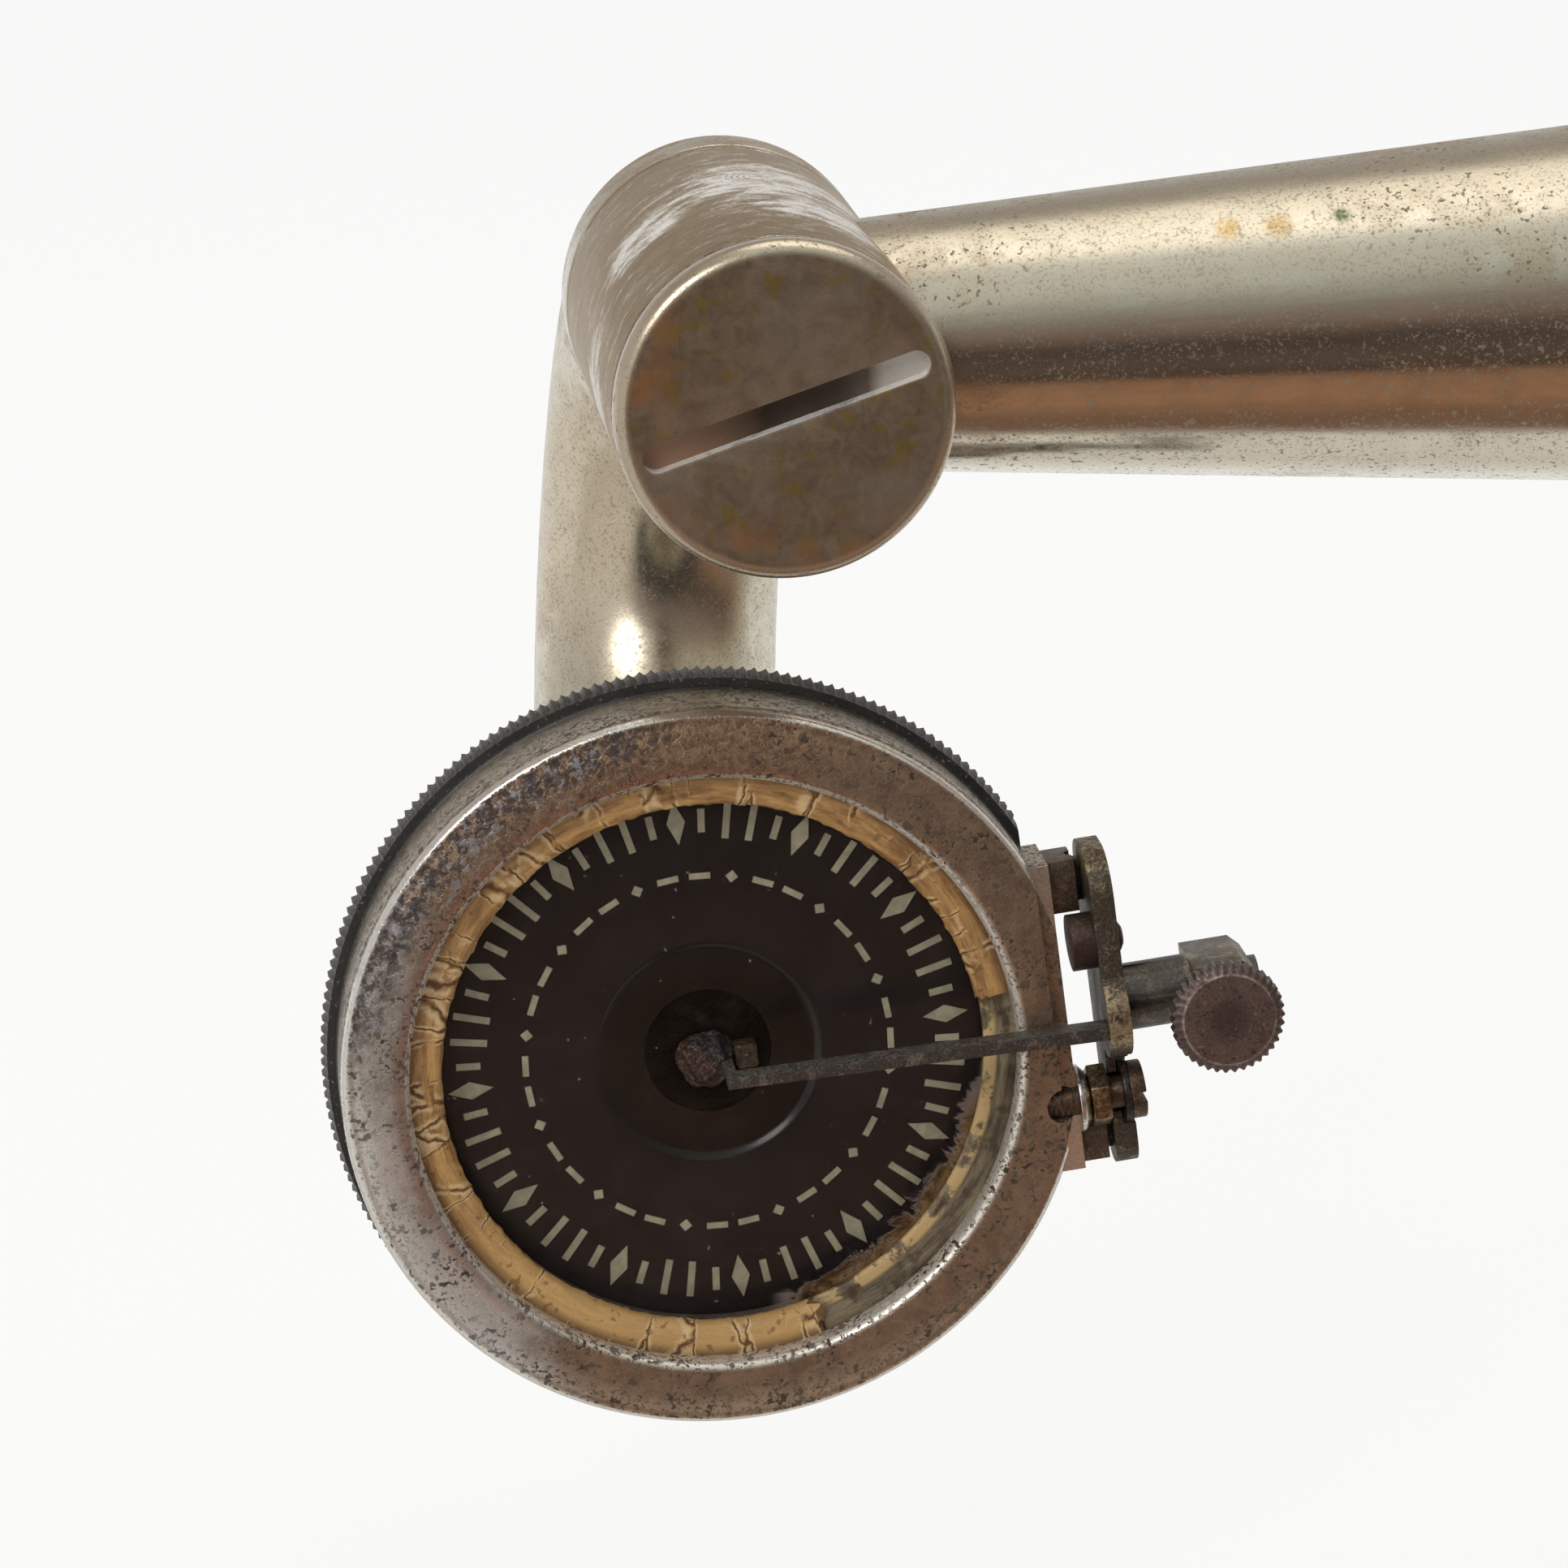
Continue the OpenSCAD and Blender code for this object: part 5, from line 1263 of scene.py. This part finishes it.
class TONEARM_OT_gaskets(bpy.types.Operator):
    """Torn paper gasket, its bed and the rear gasket"""

    bl_idname = "tonearm.gaskets"
    bl_label = "Gaskets"

    def execute(self, context):
        size = in_mm(context.scene.sound_box_sizes)
        colours = context.scene.tone_arm_colours
        half = size.gasket_t / 2
        front, back = size.lip_back, size.lip_back + size.gasket_t
        first, last = math.radians(6), math.radians(284)
        profile = [(size.gasket_outer_r, front), (size.gasket_outer_r, back)]
        profile += arc_points((size.gasket_r + half, front + half), half, 90, 270, 14)
        paper = turned(profile, "Y", 420, last - first)
        bmesh.ops.rotate(paper, verts=paper.verts, cent=(0, 0, 0), matrix=Matrix.Rotation(-first, 3, "Y"))
        torn = 0.05
        for vert in paper.verts:
            radius = radius_of(vert)
            angle = math.atan2(vert.co.z, vert.co.x) % FULL_TURN
            spot = Vector((angle * 22.0, radius * 0.8, vert.co.y * 0.8))
            lift = noise.noise(spot) * 0.09 + noise.noise(spot * 2.7) * 0.05
            inner = lift * max(0.0, min(1.0, (size.gasket_outer_r - radius) / 0.6))
            set_radius(vert, radius + min(inner, 0.0) * 1.5 + inner * 0.5)
            if vert.co.y < front + half:
                vert.co.y = max(front, vert.co.y - lift * 0.4)
            near = min(angle - first, last - angle)
            if near < torn:
                side, seed = (1, 7.0) if angle > math.pi else (-1, 1.0)
                ragged = noise.noise(Vector((radius * 2.3, vert.co.y * 2.3, seed)))
                push = ragged * 0.045 * (1 - near / torn) * side
                vert.co = Matrix.Rotation(-push, 3, "Y") @ vert.co
        piece("gasket_paper", paper, AT_BOX, "sound_box", ["front_gasket"],
              paper_finish(size, colours))
        rim_r = size.gasket_outer_r - 0.05
        bed = [(rim_r, front + 0.75), (rim_r, back), (size.gasket_r + 0.25, back),
               (size.gasket_r + 0.3, front + 1.45), (size.gasket_r + 0.7, front + 1.3),
               (size.gasket_r + 1.4, front + 1.25)]
        piece("gasket_bed", turned(softened(bed, 0.15), "Y", 160), AT_BOX, "sound_box", [],
              bed_finish(size))
        rubber = steel_finish("old rubber", colours, (0.05, 0.035, 0.025), (0.09, 0.065, 0.045), 0.4, 0.6,
                              rough=0.6, dusty=0.1, metal=0.0)
        repaint("rear_gasket", rubber)
        return {"FINISHED"}


class TONEARM_OT_diaphragm(bpy.types.Operator):
    """Mica disc"""

    bl_idname = "tonearm.diaphragm"
    bl_label = "Diaphragm"

    def execute(self, context):
        repaint("diaphragm", mica_finish())
        return {"FINISHED"}


class TONEARM_OT_dial(bpy.types.Operator):
    """Dished dial with its ring of plain marks"""

    bl_idname = "tonearm.dial"
    bl_label = "Dial"

    def execute(self, context):
        size = in_mm(context.scene.sound_box_sizes)
        colours = context.scene.tone_arm_colours
        face, back = size.dial_y, size.dial_y + size.dial_t
        depth, slope, mid_r = 0.36, 0.95, 13.0
        profile = [(size.dial_hole_r, back), (size.dial_hole_r, face + depth)]
        for step in range(17):
            t = step / 16
            profile.append((size.dish_r + slope * t, face + depth * (1 + math.cos(math.pi * t)) / 2))
        profile += [(mid_r, face), (size.dial_r, face), (size.dial_r, back)]
        piece("dial_disc", turned(profile, "Y", 160), AT_BOX, "sound_box", ["dial"],
              lacquer_finish(size, colours), 50.0)
        marks = bmesh.new()
        level = face - 0.02
        outer_r, inner_r = 16.9, 12.9
        for index in range(60):
            at = self.place(outer_r, index * 6, level)
            if index % 5 == 0:
                self.lozenge(marks, at, 3.2, 1.3)
            else:
                self.bar(marks, at, 2.6 if index % 5 in (2, 3) else 1.7, 0.5)
        for index in range(36):
            at = self.place(inner_r, index * 10 + 5, level)
            if index % 3 == 1:
                self.lozenge(marks, at, 0.9, 0.9)
            else:
                self.bar(marks, at, 0.45, 1.5)
        piece("dial_marks", marks, AT_BOX, "sound_box", [], mark_finish(colours))
        return {"FINISHED"}

    def place(self, radius, angle, level):
        """Matrix of a mark on a ring about the Y axis."""
        return Matrix.Rotation(math.radians(-angle), 4, "Y") @ Matrix.Translation((radius, level, 0))

    def bar(self, marks, at, tall, wide):
        """Adds a plain bar."""
        bmesh.ops.create_cube(marks, size=1.0, matrix=at @ Matrix.Diagonal((tall, MARK_T, wide, 1.0)))

    def lozenge(self, marks, at, tall, wide):
        """Adds a lozenge."""
        spread = Matrix.Diagonal((tall, MARK_T, wide, 1.0)) @ Matrix.Rotation(math.pi / 2, 4, "X")
        rod(marks, 0.5, 1.0, 4, at @ spread)


class TONEARM_OT_flange(bpy.types.Operator):
    """Knurled back flange, bayonet collar and the screws in the back"""

    bl_idname = "tonearm.flange"
    bl_label = "Back flange"

    def execute(self, context):
        size = in_mm(context.scene.sound_box_sizes)
        colours = context.scene.tone_arm_colours
        front, back = size.case_depth, size.case_depth + size.flange_t
        root = size.flange_r - size.flange_tooth
        land_r = 22.0
        rings = [(size.flange_bore_r, front), (land_r, front), (root - 0.75, front),
                 (root - 0.55, front + 0.12), (root - 0.5, front + 0.5), (root, front + 0.6),
                 (root, front + 1.0), (root, front + 1.45), (root, back - 0.6), (root, back - 0.15),
                 (root - 0.35, back), (land_r, back), (size.flange_bore_r, back),
                 (size.flange_bore_r, front)]
        made = stacked_rings(size.flange_teeth * 4, rings)
        rim_teeth(made, size.flange_teeth, root - 0.02, size.flange_tooth, front + 0.55, back - 0.1)
        cut_off(made, (size.flange_flat_x, 0, 0), (1, 0, 0))
        holes = bmesh.new()
        for turns, circle_r in ((CASE_SCREW_TURNS, CASE_SCREW_CIRCLE),
                                (COLLAR_SCREW_TURNS, COLLAR_SCREW_CIRCLE)):
            for turn in turns:
                rod(holes, SCREW_HOLE_R, 9.0, 24, on_circle(turn, circle_r, (front + back) / 2))
        made = carved(made, holes)
        heads = bmesh.new()
        for turn in CASE_SCREW_TURNS:
            rod(heads, SCREW_HEAD_R, 2.0, 32, on_circle(turn, CASE_SCREW_CIRCLE, back))
        made = carved(made, heads)
        piece("knurled_flange_cut", made, AT_BOX, "sound_box", ["knurled_flange"],
              rubber_finish(size, colours), 28.0)
        eased("bayonet_collar", 0.12, 2, "sound_box",
              nickel_finish("collar nickel", AT_BOX, colours, 0.5, 0.8))
        screw = steel_finish("screw steel", colours, (0.14, 0.12, 0.1), (0.32, 0.29, 0.25), 0.45, 0.65)
        for node in ("case_screws", "collar_screws"):
            eased(node, 0.06, 2, "sound_box", screw, 38.0)
        return {"FINISHED"}


class TONEARM_OT_stylus_bar(bpy.types.Operator):
    """Yoke plate, stylus arm, needle holder and knife blocks"""

    bl_idname = "tonearm.stylus_bar"
    bl_label = "Stylus bar"

    def execute(self, context):
        colours = context.scene.tone_arm_colours
        eased("yoke_plate", 0.14, 3, "stylus_bar", yoke_finish(colours))
        bar = steel_finish("bar steel", colours, colours.steel, (0.28, 0.255, 0.23), 0.5, 0.62,
                           rough=0.36, dusty=0.7)
        eased("stylus_arm", 0.22, 3, "stylus_bar", bar)
        holder = steel_finish("holder steel", colours, (0.2, 0.178, 0.145), (0.5, 0.44, 0.33), 0.46, 0.66,
                              rough=0.32, dusty=0.25, dark_end=33.4)
        eased("needle_holder", 0.14, 3, "stylus_bar", holder)
        blocks = steel_finish("block steel", colours, (0.17, 0.125, 0.1), (0.34, 0.26, 0.2), 0.46, 0.66)
        eased("knife_blocks", 0.12, 2, "sound_box", blocks)
        return {"FINISHED"}


class TONEARM_OT_yoke_screws(bpy.types.Operator):
    """Stop screw, tension screw, nut and washers"""

    bl_idname = "tonearm.yoke_screws"
    bl_label = "Yoke screws"

    def execute(self, context):
        colours = context.scene.tone_arm_colours
        brown = steel_finish("stop steel", colours, (0.1, 0.06, 0.052), colours.brown_steel, 0.5, 0.68,
                             rough=0.42, dusty=0.2)
        eased("stop_screw", 0.16, 3, "stylus_bar", brown)
        head = steel_finish("tension steel", colours, (0.12, 0.075, 0.05), (0.27, 0.17, 0.11), 0.48, 0.66,
                            rough=0.36, dusty=0.15, thread_end=25.2)
        eased("tension_screw", 0.12, 3, "sound_box", head)
        dark = steel_finish("spring steel", colours, (0.04, 0.036, 0.034), (0.13, 0.115, 0.1), 0.5, 0.68)
        eased("spring_washer", 0.05, 2, "sound_box", dark)
        brass = steel_finish("lock nut brass", colours, (0.25, 0.185, 0.105), (0.6, 0.48, 0.3), 0.46, 0.62,
                             rough=0.28, dusty=0.1, metal=0.95)
        eased("lock_nut", 0.12, 3, "sound_box", brass)
        bright = steel_finish("cup nickel", colours, (0.66, 0.64, 0.6), (0.88, 0.87, 0.84), 0.38, 0.56,
                              rough=0.2, dusty=0.05, metal=1.0)
        eased("cup_washer", 0.1, 3, "sound_box", bright)
        return {"FINISHED"}


class TONEARM_OT_wax(bpy.types.Operator):
    """Nut and wax at the foot of the stylus arm"""

    bl_idname = "tonearm.wax"
    bl_label = "Wax seal"

    def execute(self, context):
        colours = context.scene.tone_arm_colours
        nut = steel_finish("foot nut brass", colours, (0.12, 0.075, 0.035), (0.26, 0.17, 0.08), 0.44, 0.62,
                           rough=0.5, dusty=0.1, metal=0.4)
        eased("foot_nut", 0.1, 2, "stylus_bar", nut)
        blob = bmesh.new()
        bmesh.ops.create_icosphere(blob, subdivisions=5, radius=1.0)
        for vert in blob.verts:
            lump = noise.noise(vert.co * 1.7 + Vector((3.1, 0.4, 1.9)))
            swell = 1 + 0.2 * lump + 0.08 * noise.noise(vert.co * 4.3)
            vert.co = Vector((vert.co.x * 2.05, vert.co.y * 1.75, vert.co.z * 2.05)) * swell
        self.on_mica("wax_seal_blob", blob, -0.3, ["wax_seal"],
                     wax_finish("sealing wax", colours, colours.wax, 0.9))
        crumb = bmesh.new()
        bmesh.ops.create_cube(crumb, size=1.0)
        bmesh.ops.bevel(crumb, geom=list(crumb.edges), offset=0.14, offset_type="OFFSET", affect="EDGES",
                        segments=2, profile=0.5, material=-1)
        bmesh.ops.subdivide_edges(crumb, edges=list(crumb.edges), cuts=3, use_grid_fill=True)
        bmesh.ops.scale(crumb, vec=(1.6, 2.5, 1.9), verts=crumb.verts)
        for vert in crumb.verts:
            vert.co *= 1 + 0.07 * noise.noise(vert.co * 2.1)
        self.on_mica("wax_seal_crumb", crumb, 2.4, [],
                     wax_finish("old wax", colours, (0.085, 0.046, 0.02), 0.0))
        return {"FINISHED"}

    def on_mica(self, name, lump, across, nodes, material):
        """Cuts a lump flat at the back and sets it on the mica."""
        mica_y, up = 2.49, 0.4
        cut_off(lump, (0, 0, 0), (0, 1, 0))
        bmesh.ops.translate(lump, vec=(across, mica_y, up), verts=lump.verts)
        piece(name, lump, AT_BOX, "stylus_bar", nodes, material, 60.0)


class TONEARM_OT_thumb_screw(bpy.types.Operator):
    """Knurled thumb screw that clamps the needle"""

    bl_idname = "tonearm.thumb_screw"
    bl_label = "Thumb screw"

    def execute(self, context):
        size = in_mm(context.scene.sound_box_sizes)
        colours = context.scene.tone_arm_colours
        front, back, tip = -8.1, -6.4, -0.5
        root = size.thumb_r - size.thumb_tooth
        shank_r = size.thumb_shank_r
        middle_r = 0.02
        rings = [(middle_r, front + 0.05), (1.2, front + 0.02), (2.4, front), (root - 0.62, front),
                 (root - 0.5, front + 0.03), (root - 0.12, front + 0.3), (root, front + 0.45),
                 (root, (front + back) / 2), (root, back - 0.2), (root - 0.15, back), (shank_r + 0.5, back),
                 (shank_r + 0.35, back + 0.3), (shank_r, back + 0.6), (shank_r, tip - 0.3),
                 (shank_r - 0.3, tip), (middle_r, tip)]
        made = stacked_rings(size.thumb_teeth * 6, rings, closed=False)
        for vert in made.verts:
            radius = radius_of(vert)
            if radius > root - 0.15:
                wave = 0.5 - 0.5 * math.cos(FULL_TURN * tooth_turn(vert, size.thumb_teeth))
                share = 1.0 if radius > root - 0.05 else 0.6
                set_radius(vert, radius + size.thumb_tooth * share * wave)
        fill_holes(made)
        bmesh.ops.recalc_face_normals(made, faces=made.faces)
        at = AT_BOX @ Matrix.Translation((size.thumb_x, 0, size.thumb_z))
        piece("thumb_screw_knurled", made, at, "needle_screw", ["thumb_screw"],
              thumb_finish(at, colours, root - 0.5), 35.0)
        return {"FINISHED"}


class TONEARM_PT_panel(bpy.types.Panel):
    """Sizes, colours and steps of the tone arm"""

    bl_label = "Tone arm"
    bl_idname = "TONEARM_PT_panel"
    bl_space_type = "VIEW_3D"
    bl_region_type = "UI"
    bl_category = "Tone arm"

    def draw(self, context):
        layout = self.layout
        for step in STEPS:
            layout.operator(step.bl_idname)
        for name in GROUPS:
            group = getattr(context.scene, name)
            box = layout.box()
            for setting in group.__annotations__:
                box.prop(group, setting)


STEPS = (
    TONEARM_OT_studio,
    TONEARM_OT_arm,
    TONEARM_OT_cross_tube,
    TONEARM_OT_gooseneck,
    TONEARM_OT_base,
    TONEARM_OT_casing,
    TONEARM_OT_gaskets,
    TONEARM_OT_diaphragm,
    TONEARM_OT_dial,
    TONEARM_OT_flange,
    TONEARM_OT_stylus_bar,
    TONEARM_OT_yoke_screws,
    TONEARM_OT_wax,
    TONEARM_OT_thumb_screw,
)
GROUPS = {
    "tone_arm_sizes": ToneArmSizes,
    "sound_box_sizes": SoundBoxSizes,
    "tone_arm_colours": ToneArmColours,
    "studio_settings": StudioSettings,
}


def register():
    for name, group in GROUPS.items():
        bpy.utils.register_class(group)
        setattr(bpy.types.Scene, name, PointerProperty(type=group))
    for step in STEPS:
        bpy.utils.register_class(step)
    bpy.utils.register_class(TONEARM_PT_panel)


def unregister():
    bpy.utils.unregister_class(TONEARM_PT_panel)
    for step in reversed(STEPS):
        bpy.utils.unregister_class(step)
    for name, group in GROUPS.items():
        delattr(bpy.types.Scene, name)
        bpy.utils.unregister_class(group)


def main():
    register()
    bpy.ops.tonearm.studio()
    bpy.ops.tonearm.arm()
    bpy.ops.tonearm.cross_tube()
    bpy.ops.tonearm.gooseneck()
    bpy.ops.tonearm.base()
    bpy.ops.tonearm.casing()
    bpy.ops.tonearm.gaskets()
    bpy.ops.tonearm.diaphragm()
    bpy.ops.tonearm.dial()
    bpy.ops.tonearm.flange()
    bpy.ops.tonearm.stylus_bar()
    bpy.ops.tonearm.yoke_screws()
    bpy.ops.tonearm.wax()
    bpy.ops.tonearm.thumb_screw()


if __name__ == "__main__":
    main()
